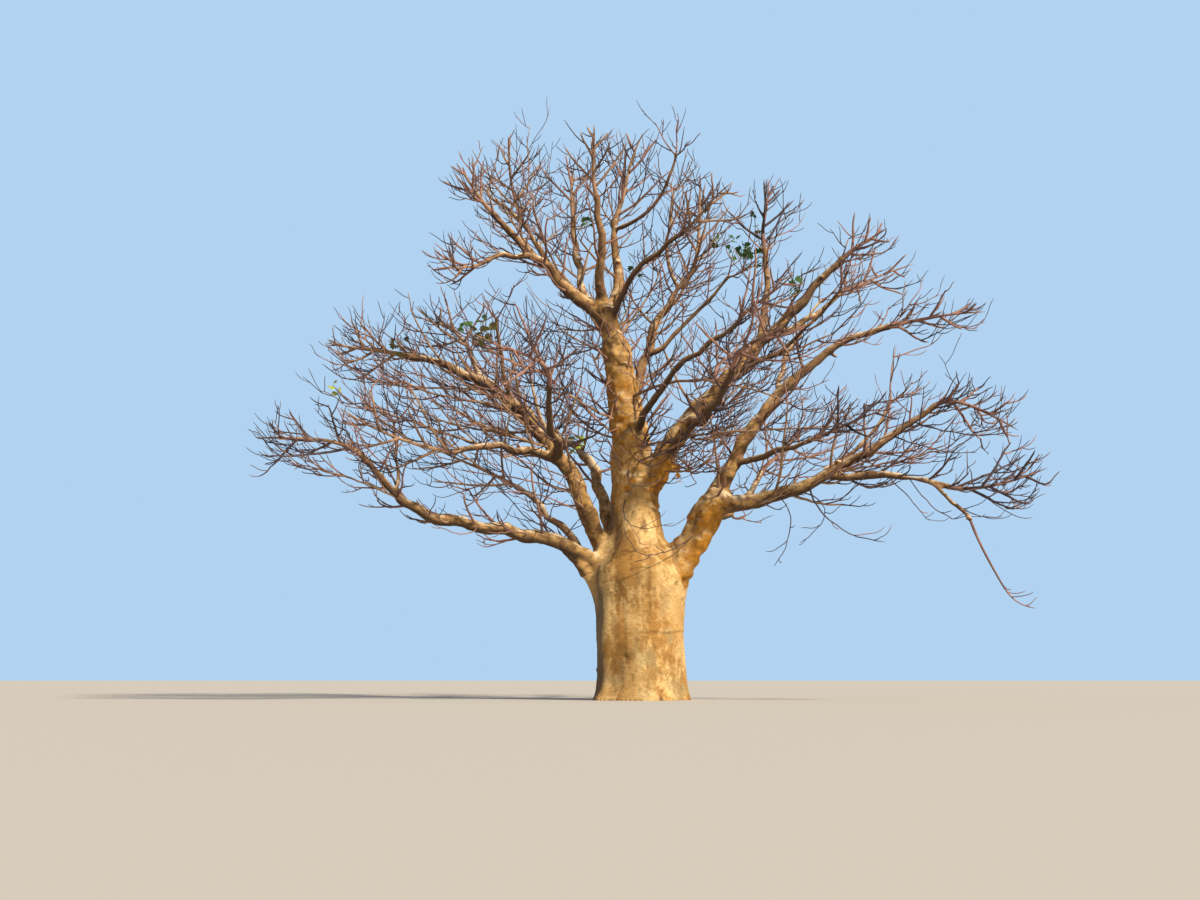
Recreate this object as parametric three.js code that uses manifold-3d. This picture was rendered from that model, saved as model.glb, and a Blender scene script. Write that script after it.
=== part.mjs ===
// A leafless baobab, rooted in the ground: one trunk, its boughs, and a mass of bare twigs on each bough's tip.
// Millimetres, +Z up, +X to the right of a front view and +Y away from it.
// The origin is the middle of the flat cut under the trunk, at ground level.
import * as THREE from 'three';
import Module from 'manifold-3d';

const wasm = await Module();
wasm.setup();

// Two pieces that meet keep a gap of 0.3 mm or a little more. A limb is grown by this before it cuts another
// piece, and on the flats between a limb's corners the growth is a little smaller.
const GROWTH = 0.45;

// The trunk: a stout bole that flares at the ground and swells under the fork, then a leader.
// Seen from the side, the leader reaches further down before it is slim.
const TRUNK = {
  height: 9200,
  boleRadius: 1000,
  boleTop: 2900,
  flare: 150,
  flareHeight: 230,
  swell: 130,
  swellHeight: 2800,
  swellSpan: 420,
  leaderFoot: 3950,
  leaderFootInDepth: 4700,
  leaderFootRadius: 600,
  leaderTipRadius: 262,
  lobes: 5,
  lobeDepth: 45,
  lobeHeight: 900,
  sides: 24,
  rings: 22,
};

// The trunk's middle line, as x and y at a few heights: upright in the bole, then leaning to the left.
const TRUNK_LINE = [
  { height: 0, x: 0, y: 0 },
  { height: 2600, x: 10, y: 0 },
  { height: 4000, x: -90, y: 40 },
  { height: 6050, x: -210, y: 110 },
  { height: 7300, x: -400, y: 60 },
  { height: 8200, x: -520, y: 0 },
  { height: 9200, x: -810, y: -40 },
];

// The boughs: name, parent, share, tip, bow, thick, thin and foot.
// A bough leaves its parent's middle line at that share of the parent's length, or its foot aside of it, and
// ends at its tip. Its middle stands off the straight line by its bow. Its radius goes from thick to thin.
const BOUGHS = [
  ['left_low_bough', 'trunk', 0.25, [-4630, -1200, 4050], [0, 0, 500], 195, 125],
  ['left_low_rise', 'left_low_bough', 1, [-6250, -1800, 5430], [-60, 0, -80], 124, 66],
  ['left_main_bough', 'trunk', 0.27, [-5420, -600, 7960], [760, -150, 870], 260, 75, [-600, 0, 0]],
  ['left_mid_bough', 'left_main_bough', 0.4, [-4000, -2400, 5450], [-100, 0, 180], 115, 62],
  ['left_rising_bough', 'left_main_bough', 0.56, [-4130, 1200, 8450], [-100, -100, -160], 125, 62],
  ['left_back_low_bough', 'trunk', 0.3, [-3000, 2000, 5200], [0, -350, -50], 130, 62, [-500, 250, 0]],
  ['left_back_bough', 'trunk', 0.3, [-1900, 3600, 6600], [200, -650, 530], 210, 85, [-430, 300, 0]],
  ['top_left_bough', 'trunk', 0.985, [-3430, -1000, 11280], [-90, 0, -80], 190, 65],
  ['top_left_side_bough', 'top_left_bough', 0.55, [-3500, -1850, 9900], [0, 0, 160], 90, 50],
  ['top_back_left_bough', 'trunk', 0.96, [-2800, 800, 11590], [-100, 100, -60], 140, 65],
  ['top_back_bough', 'trunk', 0.94, [-1600, 1900, 12100], [-300, 350, 0], 130, 60],
  ['top_centre_bough', 'trunk', 0.995, [-1000, -850, 11750], [-40, -160, 0], 150, 65],
  ['top_right_bough', 'trunk', 0.975, [-560, 600, 11600], [150, 80, 0], 170, 75],
  ['top_front_bough', 'trunk', 0.95, [1000, -1850, 10600], [-150, -100, 250], 90, 48],
  ['inner_right_bough', 'trunk', 0.64, [1230, 1400, 10300], [-350, 120, 200], 160, 75],
  ['mid_right_bough', 'trunk', 0.63, [2070, -2600, 8220], [-150, -300, 350], 100, 50],
  ['right_main_bough', 'trunk', 0.48, [4740, -1100, 10160], [-300, 100, 120], 330, 70],
  ['right_upright_bough', 'right_main_bough', 0.66, [3050, -50, 10700], [60, 0, -60], 110, 62],
  ['right_side_bough', 'right_main_bough', 0.68, [5000, 850, 9850], [0, 60, -120], 105, 55],
  ['right_low_bough', 'trunk', 0.215, [1760, -600, 4560], [110, 0, -60], 490, 295],
  ['right_arm_bough', 'right_low_bough', 0.97, [6610, -1900, 6550], [60, -120, -520], 215, 62],
  ['right_far_low_bough', 'right_arm_bough', 0.5, [6650, -2700, 4600], [0, 0, 120], 110, 58],
  ['right_droop_bough', 'right_far_low_bough', 0.7, [7000, -3050, 3850], [60, -60, 120], 60, 42],
  ['right_mid_bough', 'right_low_bough', 0.97, [5830, -900, 8600], [-420, 100, 640], 215, 62],
  ['right_mid_side_bough', 'right_mid_bough', 0.16, [3740, -2300, 5700], [0, 0, -60], 90, 50],
  ['front_left_bough', 'left_main_bough', 0.42, [-2000, -3500, 6700], [0, -150, -250], 125, 60],
  ['front_right_bough', 'right_main_bough', 0.33, [1900, -3700, 7000], [0, -150, -350], 140, 62],
  ['back_centre_bough', 'trunk', 0.7, [-700, 3300, 8700], [0, 150, -300], 150, 68],
  ['back_right_bough', 'right_main_bough', 0.36, [2100, 3300, 8100], [0, 150, -300], 150, 68],
  ['back_right_low_bough', 'right_low_bough', 0.8, [3200, 3100, 5700], [0, 0, -250], 170, 68],
].map(([name, parent, share, tip, bow, thick, thin, foot = [0, 0, 0]]) => (
  { name, parent, share, tip, bow, thick, thin, foot }
));

// The masses of twigs: name, bough, reach, width and lift.
// Each has one stem that grows on from its bough's tip to its reach, and keeps inside a spheroid round that
// stretch, of that half-width. The lift bends its twigs up, or down where it is below zero.
const MASSES = [
  ['left_low_twigs', 'left_low_rise', [-8490, -2300, 5740], 1100, 0.15],
  ['left_main_twigs', 'left_main_bough', [-7280, -850, 8210], 1150, 0.35],
  ['left_mid_twigs', 'left_mid_bough', [-6480, -3400, 6210], 1350, 0.3],
  ['left_rising_twigs', 'left_rising_bough', [-5130, 2100, 9680], 1300, 0.35],
  ['left_back_low_twigs', 'left_back_low_bough', [-5600, 4300, 6700], 1600, 0.35],
  ['left_back_twigs', 'left_back_bough', [-3500, 6200, 8700], 1700, 0.35],
  ['top_left_twigs', 'top_left_bough', [-4290, -1300, 12420], 950, 0.4],
  ['top_left_side_twigs', 'top_left_side_bough', [-4520, -2700, 9500], 800, 0.4],
  ['top_back_left_twigs', 'top_back_left_bough', [-3120, 400, 13790], 1000, 0.4],
  ['top_back_twigs', 'top_back_bough', [-1600, 2900, 13900], 1400, 0.4],
  ['top_centre_twigs', 'top_centre_bough', [-1060, -1400, 13330], 1050, 0.4],
  ['top_right_twigs', 'top_right_bough', [150, 800, 13940], 1200, 0.4],
  ['top_front_twigs', 'top_front_bough', [2050, -2800, 11450], 1050, 0.4],
  ['inner_right_twigs', 'inner_right_bough', [1750, 1500, 12900], 1350, 0.4],
  ['mid_right_twigs', 'mid_right_bough', [3200, -4100, 9000], 1350, 0.4],
  ['right_main_twigs', 'right_main_bough', [5690, -1600, 10750], 850, 0.35],
  ['right_upright_twigs', 'right_upright_bough', [3170, 100, 12530], 1100, 0.4],
  ['right_side_twigs', 'right_side_bough', [7060, 2000, 10910], 950, 0.35],
  ['right_arm_twigs', 'right_arm_bough', [8290, -2400, 5900], 900, 0.35],
  ['right_far_low_twigs', 'right_far_low_bough', [8680, -3100, 4960], 1250, 0.25],
  ['right_droop_twigs', 'right_droop_bough', [8250, -3300, 1950], 450, -0.15],
  ['right_mid_twigs', 'right_mid_bough', [7930, -1400, 8820], 850, 0.35],
  ['right_mid_side_twigs', 'right_mid_side_bough', [5300, -3900, 6150], 950, 0.35],
  ['front_left_twigs', 'front_left_bough', [-2800, -6200, 6950], 1500, 0.35],
  ['front_right_twigs', 'front_right_bough', [2700, -6300, 7300], 1500, 0.35],
  ['back_centre_twigs', 'back_centre_bough', [-900, 6000, 10600], 1800, 0.35],
  ['back_right_twigs', 'back_right_bough', [2900, 6200, 9700], 1700, 0.35],
  ['back_right_low_twigs', 'back_right_low_bough', [5300, 5100, 7000], 1700, 0.35],
].map(([name, bough, reach, width, lift]) => ({ name, bough, reach, width, lift }));

// How a bough is made: its corners, where it is slim enough for fewer, its rings, closer together at the root,
// the collar that widens its root, and how far it sways from side to side for each millimetre of its length.
const BOUGH = {
  sides: 8,
  slimSides: 6,
  slimBelow: 130,
  rings: 7,
  crowding: 1.3,
  taper: 0.8,
  collar: 0.45,
  collarReach: 1.6,
  sway: 0.015,
};

// How a mass branches: a stem, its branches, and the twigs on each branch. From and to are shares of the
// parent's line, lean is the angle off it in radians, and length is a share of the parent's length.
const STEM = { segments: 4, thickShare: 0.9, sunk: 25, bend: 0.3, sway: 0.05 };
const BRANCH = { count: 8, from: 0.1, to: 0.86, thick: 38, segments: 2, lean: 0.85 };
const TWIG = { count: 2, from: 0.42, to: 0.82, thick: 24, segments: 1, lean: 0.7, length: 0.6 };

// A twig is three-sided. It is widest a few times its thickness from its root, and its tip is this thick.
const TWIG_SIDES = 3;
const TWIG_FOOT = 3;
const TWIG_FOOT_MOST = 0.3;
const TWIG_TIP = 6;

// How much chance there is in a twig's place, lean and length, and the most of its space that it fills.
const CHANCE = { place: 0.3, lean: 0.3, length: 0.15 };
const FILL = 0.95;

// Turned by this angle from one to the next, twigs on a stem never stand in line.
const GOLDEN_ANGLE = Math.PI * (3 - Math.sqrt(5));

// A twig that doesn't fit is tried again at these shares of its length, and is then left out.
const TRIES = [1, 0.75, 0.5];
const TESTED_SHARES = [0, 0.25, 0.5, 0.75, 1];

// How far a twig keeps from the next mass's space, as a difference of levels, and from a limb's bark.
const SPACE_MARGIN = 0.035;
const LIMB_ROOM = 60;

// What a seeded number is for, so that no two of them follow each other.
const FOR = { sway: 1, wave: 2, turn: 3, place: 4, lean: 5, length: 6 };

// A twig's own number: its parent's number times this, and its place on the parent.
const FAMILY = 16;

const UP = new THREE.Vector3(0, 0, 1);
const { lerp, clamp, smoothstep } = THREE.MathUtils;

// A number from 0 to 1 that looks random, always the same for the same two whole numbers.
function seeded(number, purpose) {
  const wave = Math.sin(12.9898 * number + 78.233 * purpose) * 43758.5453;
  return wave - Math.floor(wave);
}

function vector(numbers) {
  return new THREE.Vector3(...numbers);
}

function evenShares(count) {
  return Array.from({ length: count }, (_, i) => i / (count - 1));
}

// A closed solid from rings of points, all with the same number of corners.
// Its first and last ring get a flat face, unless that ring is a single point, where the solid ends in a tip.
function loft(rings) {
  const firsts = [];
  rings.reduce((count, ring) => {
    firsts.push(count);
    return count + ring.length;
  }, 0);
  const sides = rings[1].length;
  const last = rings.length - 1;
  const corner = (ring, side) => firsts[ring] + (rings[ring].length === 1 ? 0 : side % sides);
  const faces = [];
  for (let ring = 0; ring < last; ring++) {
    for (let side = 0; side < sides; side++) {
      const low = corner(ring, side);
      const lowNext = corner(ring, side + 1);
      const high = corner(ring + 1, side);
      const highNext = corner(ring + 1, side + 1);
      if (low !== lowNext) faces.push(low, lowNext, highNext);
      if (high !== highNext) faces.push(low, highNext, high);
    }
  }
  for (let side = 1; side < sides - 1; side++) {
    if (rings[0].length > 1) faces.push(corner(0, 0), corner(0, side + 1), corner(0, side));
    if (rings[last].length > 1) faces.push(corner(last, 0), corner(last, side), corner(last, side + 1));
  }
  return new wasm.Manifold(new wasm.Mesh({
    numProp: 3,
    vertProperties: new Float32Array(rings.flat().flatMap((point) => point.toArray())),
    triVerts: new Uint32Array(faces),
  }));
}

// Rings square to a line of points, carried along it without twisting.
function ringsAlong(points, radii, sides) {
  const tangents = points.map((point, i) => {
    const before = points[Math.max(i - 1, 0)];
    const after = points[Math.min(i + 1, points.length - 1)];
    return after.clone().sub(before).normalize();
  });
  const across = acrossFrom(tangents[0]);
  return points.map((centre, i) => {
    across.addScaledVector(tangents[i], -across.dot(tangents[i])).normalize();
    const other = tangents[i].clone().cross(across);
    return Array.from({ length: sides }, (_, side) => {
      const angle = (2 * Math.PI * side) / sides;
      return centre.clone()
        .addScaledVector(across, radii[i] * Math.cos(angle))
        .addScaledVector(other, radii[i] * Math.sin(angle));
    });
  });
}

// A level direction square to a tangent, or straight along X where the tangent is upright.
function acrossFrom(tangent) {
  const across = UP.clone().cross(tangent);
  return across.length() < 0.1 ? new THREE.Vector3(1, 0, 0) : across.normalize();
}

function tangentAt(line, share) {
  return line(Math.min(share + 0.02, 1)).sub(line(Math.max(share - 0.02, 0))).normalize();
}

// One value of the trunk's middle line at a height: a cubic between two knots, with the slope at each knot
// that runs from the knot before it to the knot after it.
function alongTrunk(key, height) {
  const knots = TRUNK_LINE;
  const slope = (i) => {
    const before = knots[Math.max(i - 1, 0)];
    const after = knots[Math.min(i + 1, knots.length - 1)];
    return (after[key] - before[key]) / (after.height - before.height);
  };
  const low = clamp(knots.findLastIndex((knot) => knot.height <= height), 0, knots.length - 2);
  const span = knots[low + 1].height - knots[low].height;
  const t = (height - knots[low].height) / span;
  return (2 * t ** 3 - 3 * t ** 2 + 1) * knots[low][key] + (t ** 3 - 2 * t ** 2 + t) * span * slope(low)
    + (3 * t ** 2 - 2 * t ** 3) * knots[low + 1][key] + (t ** 3 - t ** 2) * span * slope(low + 1);
}

function trunkMiddle(height) {
  return new THREE.Vector3(alongTrunk('x', height), alongTrunk('y', height), height);
}

// The trunk's mean radius at a height: bole, flare and swell below, and the tapering leader above its foot.
function trunkRadius(height, leaderFoot = TRUNK.leaderFoot) {
  const flare = TRUNK.flare * Math.exp(-height / TRUNK.flareHeight);
  const swell = TRUNK.swell * Math.exp(-(((height - TRUNK.swellHeight) / TRUNK.swellSpan) ** 2));
  const rise = Math.max(height - TRUNK.leaderFoot, 0) / (TRUNK.height - TRUNK.leaderFoot);
  const leader = lerp(TRUNK.leaderFootRadius, TRUNK.leaderTipRadius, rise);
  const change = smoothstep(height, TRUNK.boleTop, leaderFoot);
  return lerp(TRUNK.boleRadius + flare + swell, leader, change);
}

function trunkSolid(growth) {
  const rings = evenShares(TRUNK.rings).map((share) => {
    const height = TRUNK.height * share;
    const middle = trunkMiddle(height);
    const lobe = TRUNK.lobeDepth * Math.exp(-height / TRUNK.lobeHeight);
    const wide = trunkRadius(height) + growth;
    const deep = trunkRadius(height, TRUNK.leaderFootInDepth) + growth;
    return Array.from({ length: TRUNK.sides }, (_, side) => {
      const angle = (2 * Math.PI * side) / TRUNK.sides;
      const bulge = lobe * Math.cos(TRUNK.lobes * angle);
      const out = new THREE.Vector3((wide + bulge) * Math.cos(angle), (deep + bulge) * Math.sin(angle), 0);
      return middle.clone().add(out);
    });
  });
  rings.at(-1).forEach((point) => point.setZ(point.z + growth));
  return loft(rings);
}

// A bough's middle line: straight from root to tip, pushed out by its bow and by a small seeded sway.
function boughLine(bough, root, index) {
  const tip = vector(bough.tip);
  const along = tip.clone().sub(root);
  const level = acrossFrom(along);
  const upward = along.clone().cross(level).normalize();
  const turn = 2 * Math.PI * seeded(index, FOR.sway);
  const sway = level.multiplyScalar(Math.cos(turn)).addScaledVector(upward, Math.sin(turn));
  return (share) => root.clone().lerp(tip, share)
    .addScaledVector(vector(bough.bow), 4 * share * (1 - share))
    .addScaledVector(sway, BOUGH.sway * along.length() * Math.sin(2 * Math.PI * share));
}

// A bough's radius goes from thick to thin, and its collar fades within a few radii of the root.
function boughRadius(bough, share, length) {
  const collar = BOUGH.collar * bough.thick * Math.exp((-share * length) / (BOUGH.collarReach * bough.thick));
  return lerp(bough.thick, bough.thin, share ** BOUGH.taper) + collar;
}

// A bough as a solid. Grown, it is longer at both ends and wider all round.
function boughSolid(bough, line, radius, growth) {
  const stations = evenShares(BOUGH.rings).map((share) => share ** BOUGH.crowding);
  const points = stations.map(line);
  const out = points.at(-1).clone().sub(points.at(-2)).normalize();
  const back = points[0].clone().sub(points[1]).normalize();
  points.at(-1).addScaledVector(out, growth);
  points[0].addScaledVector(back, growth);
  const radii = stations.map((share) => radius(share) + growth);
  return loft(ringsAlong(points, radii, bough.thick < BOUGH.slimBelow ? BOUGH.slimSides : BOUGH.sides));
}

// The trunk and the boughs by name. Each keeps its middle line, its solid, the grown solid that cuts others,
// and a few points of its middle line with their radii, which twigs stay clear of.
const limbs = new Map();

function addLimb(name, middle, radius, solid, grown) {
  const shares = evenShares(2 * BOUGH.rings - 1);
  const knots = shares.map((share) => ({ point: middle(share), radius: radius(share) }));
  limbs.set(name, { middle, solid, grown, knots });
}

function largestPiece(solid) {
  return solid.decompose().sort((a, b) => b.volume() - a.volume())[0];
}

addLimb(
  'trunk',
  (share) => trunkMiddle(TRUNK.height * share),
  (share) => trunkRadius(TRUNK.height * share, TRUNK.leaderFootInDepth),
  trunkSolid(0),
  trunkSolid(GROWTH),
);

// Each bough is cut clear of the limbs before it, and what is left inside them is dropped.
BOUGHS.forEach((bough, index) => {
  const root = limbs.get(bough.parent).middle(bough.share).add(vector(bough.foot));
  const length = vector(bough.tip).distanceTo(root);
  const line = boughLine(bough, root, index);
  const radius = (share) => boughRadius(bough, share, length);
  const whole = boughSolid(bough, line, radius, 0);
  const cut = [...limbs.values()].reduce((solid, limb) => solid.subtract(limb.grown), whole);
  addLimb(bough.name, line, radius, largestPiece(cut), boughSolid(bough, line, radius, GROWTH));
});

// The spheroid that a mass keeps inside: its long axis runs from the bough's tip to the mass's reach.
const spaces = MASSES.map((mass) => {
  const foot = limbs.get(mass.bough).middle(1);
  const reach = vector(mass.reach);
  return {
    middle: foot.clone().lerp(reach, 0.5),
    axis: reach.clone().sub(foot).normalize(),
    half: foot.distanceTo(reach) / 2,
    width: mass.width,
  };
});

// A vector in a space's own measure, in which the spheroid is a ball of radius 1.
function measured(space, offset) {
  const along = offset.dot(space.axis);
  const across = offset.clone().addScaledVector(space.axis, -along);
  return across.divideScalar(space.width).addScaledVector(space.axis, along / space.half);
}

// A point's level in a space: 0 in the middle, 1 on the spheroid.
function levelIn(space, point) {
  return measured(space, point.clone().sub(space.middle)).length();
}

function inOwnSpace(point, index) {
  const own = levelIn(spaces[index], point);
  return own < 1 && spaces.every((space, i) => i === index || own + SPACE_MARGIN < levelIn(space, point));
}

// Whether a point stays off every limb, each taken as tapering rods between its knots.
function clearOfLimbs(point) {
  return [...limbs.values()].every(({ knots }) => knots.slice(1).every((to, i) => {
    const from = knots[i];
    const span = to.point.clone().sub(from.point);
    const share = clamp(point.clone().sub(from.point).dot(span) / span.lengthSq(), 0, 1);
    const nearest = from.point.clone().addScaledVector(span, share);
    return nearest.distanceTo(point) > lerp(from.radius, to.radius, share) + LIMB_ROOM;
  }));
}

// How far a straight line from a point inside a spheroid runs before it leaves it, by the quadratic formula.
function roomAhead(space, start, direction) {
  const from = measured(space, start.clone().sub(space.middle));
  const step = measured(space, direction);
  const a = step.lengthSq();
  const b = from.dot(step);
  const c = from.lengthSq() - 1;
  return c > 0 ? 0 : (-b + Math.sqrt(b * b - a * c)) / a;
}

// The direction that leans off a tangent by an angle, at a turn round it.
function leaning(tangent, lean, turn) {
  const across = acrossFrom(tangent);
  const other = tangent.clone().cross(across);
  return tangent.clone().multiplyScalar(Math.cos(lean))
    .addScaledVector(across, Math.sin(lean) * Math.cos(turn))
    .addScaledVector(other, Math.sin(lean) * Math.sin(turn));
}

// A twig's line sets off along its direction and is bent up by its lift, more and more towards its tip.
function twigLine(start, direction, length, lift) {
  return (share) => start.clone()
    .addScaledVector(direction, length * share)
    .addScaledVector(UP, 0.5 * lift * length * share * share);
}

// The longest of the tries at a twig that stays in its space and clear of the limbs, or nothing.
function fittedTwig(start, direction, length, lift, index) {
  const lines = TRIES.map((part) => ({
    line: twigLine(start, direction, length * part, lift),
    length: length * part,
  }));
  return lines.find(({ line }) => TESTED_SHARES.every((share) => (
    inOwnSpace(line(share), index) && clearOfLimbs(line(share))
  )));
}

// The twigs along one parent, by the same rule at each order: spaced along it and turned by the golden angle.
// lengthOf gives a twig's length from its room ahead and its seeded number.
function twigsAlong(parent, order, mass, index, lengthOf) {
  const found = [];
  for (let i = 0; i < order.count; i++) {
    const number = parent.number * FAMILY + i + 1;
    const place = (i + CHANCE.place * seeded(number, FOR.place)) / (order.count - 1 + CHANCE.place);
    const share = lerp(order.from, order.to, place);
    const start = parent.line(share);
    const lean = order.lean * (1 + CHANCE.lean * (seeded(number, FOR.lean) - 0.5));
    const turn = GOLDEN_ANGLE * i + 2 * Math.PI * seeded(parent.number, FOR.turn);
    const direction = leaning(tangentAt(parent.line, share), lean, turn);
    const length = lengthOf(roomAhead(spaces[index], start, direction), seeded(number, FOR.length));
    const twig = fittedTwig(start, direction, length, mass.lift, index);
    if (twig) found.push({ ...twig, number });
  }
  return found;
}

// A twig's solid: its root is a point in its parent's middle, it is widest a foot further on, and pointed.
function twigSolid(twig, order) {
  const foot = Math.min((TWIG_FOOT * order.thick) / twig.length, TWIG_FOOT_MOST);
  const stations = evenShares(order.segments + 1).map((share) => lerp(foot, 1, share));
  const radii = stations.map((share) => lerp(order.thick, TWIG_TIP, share));
  const rings = ringsAlong(stations.map(twig.line), radii, TWIG_SIDES);
  return loft([[twig.line(0)], ...rings.slice(0, -1), [twig.line(1)]]);
}

// The stem sets off along its bough, from a little inside the bough's tip, and bends to its mass's reach.
function stemLine(mass, number) {
  const bough = limbs.get(mass.bough);
  const ahead = tangentAt(bough.middle, 1);
  const foot = bough.middle(1).addScaledVector(ahead, -STEM.sunk);
  const reach = vector(mass.reach);
  const length = foot.distanceTo(reach);
  const bend = foot.clone().addScaledVector(ahead, STEM.bend * length);
  const curve = new THREE.QuadraticBezierCurve3(foot, bend, reach);
  const sway = acrossFrom(ahead).multiplyScalar(STEM.sway * length * (seeded(number, FOR.wave) < 0.5 ? 1 : -1));
  return (share) => curve.getPoint(share).addScaledVector(sway, share * Math.sin(2 * Math.PI * share));
}

// The stem's solid starts flat inside the bough's tip, a little thinner than the bough, and is pointed.
function stemSolid(line, thick) {
  const stations = evenShares(STEM.segments + 1);
  const radii = stations.map((share) => lerp(thick, TWIG_TIP, share));
  const rings = ringsAlong(stations.map(line), radii, TWIG_SIDES);
  return loft([...rings.slice(0, -1), [line(1)]]);
}

// A mass is its stem, branches and twigs joined, and cut clear of its bough's tip.
function massSolid(mass, index) {
  const stem = { line: stemLine(mass, index + 1), number: index + 1 };
  const bough = BOUGHS.find(({ name }) => name === mass.bough);
  const pieces = [stemSolid(stem.line, bough.thin * STEM.thickShare)];
  const branchLength = (room, chance) => room * (FILL - CHANCE.length * chance);
  for (const branch of twigsAlong(stem, BRANCH, mass, index, branchLength)) {
    pieces.push(twigSolid(branch, BRANCH));
    const twigLength = (room) => Math.min(TWIG.length * branch.length, FILL * room);
    for (const twig of twigsAlong(branch, TWIG, mass, index, twigLength)) {
      pieces.push(twigSolid(twig, TWIG));
    }
  }
  const joined = pieces.reduce((whole, piece) => whole.add(piece));
  return largestPiece(joined.subtract(limbs.get(mass.bough).grown));
}

const BARK = { color: 0xb08d66, roughness: 0.85, metalness: 0 };
const TWIG_BARK = { color: 0x6e5248, roughness: 0.8, metalness: 0 };

function meshOf(name, solid, finish) {
  const { vertProperties, triVerts } = solid.getMesh();
  const geometry = new THREE.BufferGeometry();
  geometry.setAttribute('position', new THREE.BufferAttribute(new Float32Array(vertProperties), 3));
  geometry.setIndex(new THREE.BufferAttribute(new Uint32Array(triVerts), 1));
  geometry.computeVertexNormals();
  const mesh = new THREE.Mesh(geometry, new THREE.MeshStandardMaterial(finish));
  mesh.name = name;
  return mesh;
}

const tree = new THREE.Group();
limbs.forEach((limb, name) => tree.add(meshOf(name, limb.solid, BARK)));
MASSES.forEach((mass, index) => tree.add(meshOf(mass.name, massSolid(mass, index), TWIG_BARK)));

export default tree;
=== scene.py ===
# %% [markdown]
# # A baobab in the dry season
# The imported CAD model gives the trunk, the boughs and the masses of twigs their places and sizes. This
# script grows the tree again over it with more detail: bark with folds and pits, forks that flow together,
# and thousands of twigs. Everything is in metres, +Z up, with +Y away from the camera.

# %% Load the frame
import math

import bpy
import numpy as np
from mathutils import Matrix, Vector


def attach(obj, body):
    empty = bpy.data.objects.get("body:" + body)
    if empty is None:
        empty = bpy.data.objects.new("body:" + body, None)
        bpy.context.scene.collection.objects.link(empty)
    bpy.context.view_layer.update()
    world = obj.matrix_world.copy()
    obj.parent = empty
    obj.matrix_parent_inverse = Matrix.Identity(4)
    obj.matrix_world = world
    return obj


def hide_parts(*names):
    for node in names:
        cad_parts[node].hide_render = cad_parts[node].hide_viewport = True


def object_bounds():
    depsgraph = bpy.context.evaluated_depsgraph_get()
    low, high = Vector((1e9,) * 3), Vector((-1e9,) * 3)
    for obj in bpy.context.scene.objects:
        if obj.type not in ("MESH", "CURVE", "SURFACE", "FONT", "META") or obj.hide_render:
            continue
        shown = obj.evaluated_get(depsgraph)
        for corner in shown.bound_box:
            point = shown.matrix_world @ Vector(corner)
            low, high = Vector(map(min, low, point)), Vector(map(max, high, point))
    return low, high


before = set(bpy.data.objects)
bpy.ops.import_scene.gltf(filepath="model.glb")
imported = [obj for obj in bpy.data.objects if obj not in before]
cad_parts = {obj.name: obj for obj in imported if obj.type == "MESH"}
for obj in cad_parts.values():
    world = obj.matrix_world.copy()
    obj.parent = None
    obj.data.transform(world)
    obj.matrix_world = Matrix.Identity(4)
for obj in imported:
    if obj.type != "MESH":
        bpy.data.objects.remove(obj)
cad_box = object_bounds()
print("CAD box", [round(value, 3) for corner in cad_box for value in corner])

# %% [markdown]
# ## Camera
# The tree is seen from well away and from low down, so the camera looks up at the crown. Lens and distance
# give the tree its place and size in the frame, and the pitch puts the horizon under the middle.

# %% Camera
def new_object(name, data):
    """An object of this data, linked to the scene."""
    made = bpy.data.objects.new(name, data)
    bpy.context.scene.collection.objects.link(made)
    return made


CAMERA_PLACE = (-0.92, -35.0, 0.5)
CAMERA_PITCH = math.radians(8.644)
camera_data = bpy.data.cameras.new("camera")
camera_data.lens = 45
camera_data.sensor_width = 36
camera_data.clip_end = 600
camera = new_object("camera", camera_data)
camera.location = CAMERA_PLACE
camera.rotation_euler = (math.pi / 2 + CAMERA_PITCH, 0, 0)
bpy.context.scene.camera = camera
print("camera", round(-camera.location.y, 1), "m from the trunk")

# %% [markdown]
# ## The limbs' sizes
# A baobab has a stout bole, then boughs that taper and split. The tables repeat the named sizes of the CAD
# source, so that every limb here lies along its solid. A bough leaves its parent's middle line at a share of
# the parent's length, or a foot aside of it, and its middle stands off the straight line by its bow.

# %% Sizes of the trunk and the boughs
TRUNK_HEIGHT = 9.2
BOLE_RADIUS, BOLE_TOP = 1.0, 2.9
FLARE, FLARE_HEIGHT = 0.15, 0.23
SWELL, SWELL_HEIGHT, SWELL_SPAN = 0.13, 2.8, 0.42
LEADER_FOOT, LEADER_FOOT_IN_DEPTH = 3.95, 4.7
LEADER_FOOT_RADIUS, LEADER_TIP_RADIUS = 0.6, 0.262
LOBES, LOBE_DEPTH, LOBE_HEIGHT = 5, 0.045, 0.9

# Height, x and y of the trunk's middle line.
TRUNK_LINE = np.array([
    (0.0, 0.0, 0.0),
    (2.6, 0.01, 0.0),
    (4.0, -0.09, 0.04),
    (6.05, -0.21, 0.11),
    (7.3, -0.4, 0.06),
    (8.2, -0.52, 0.0),
    (9.2, -0.81, -0.04),
])

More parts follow.
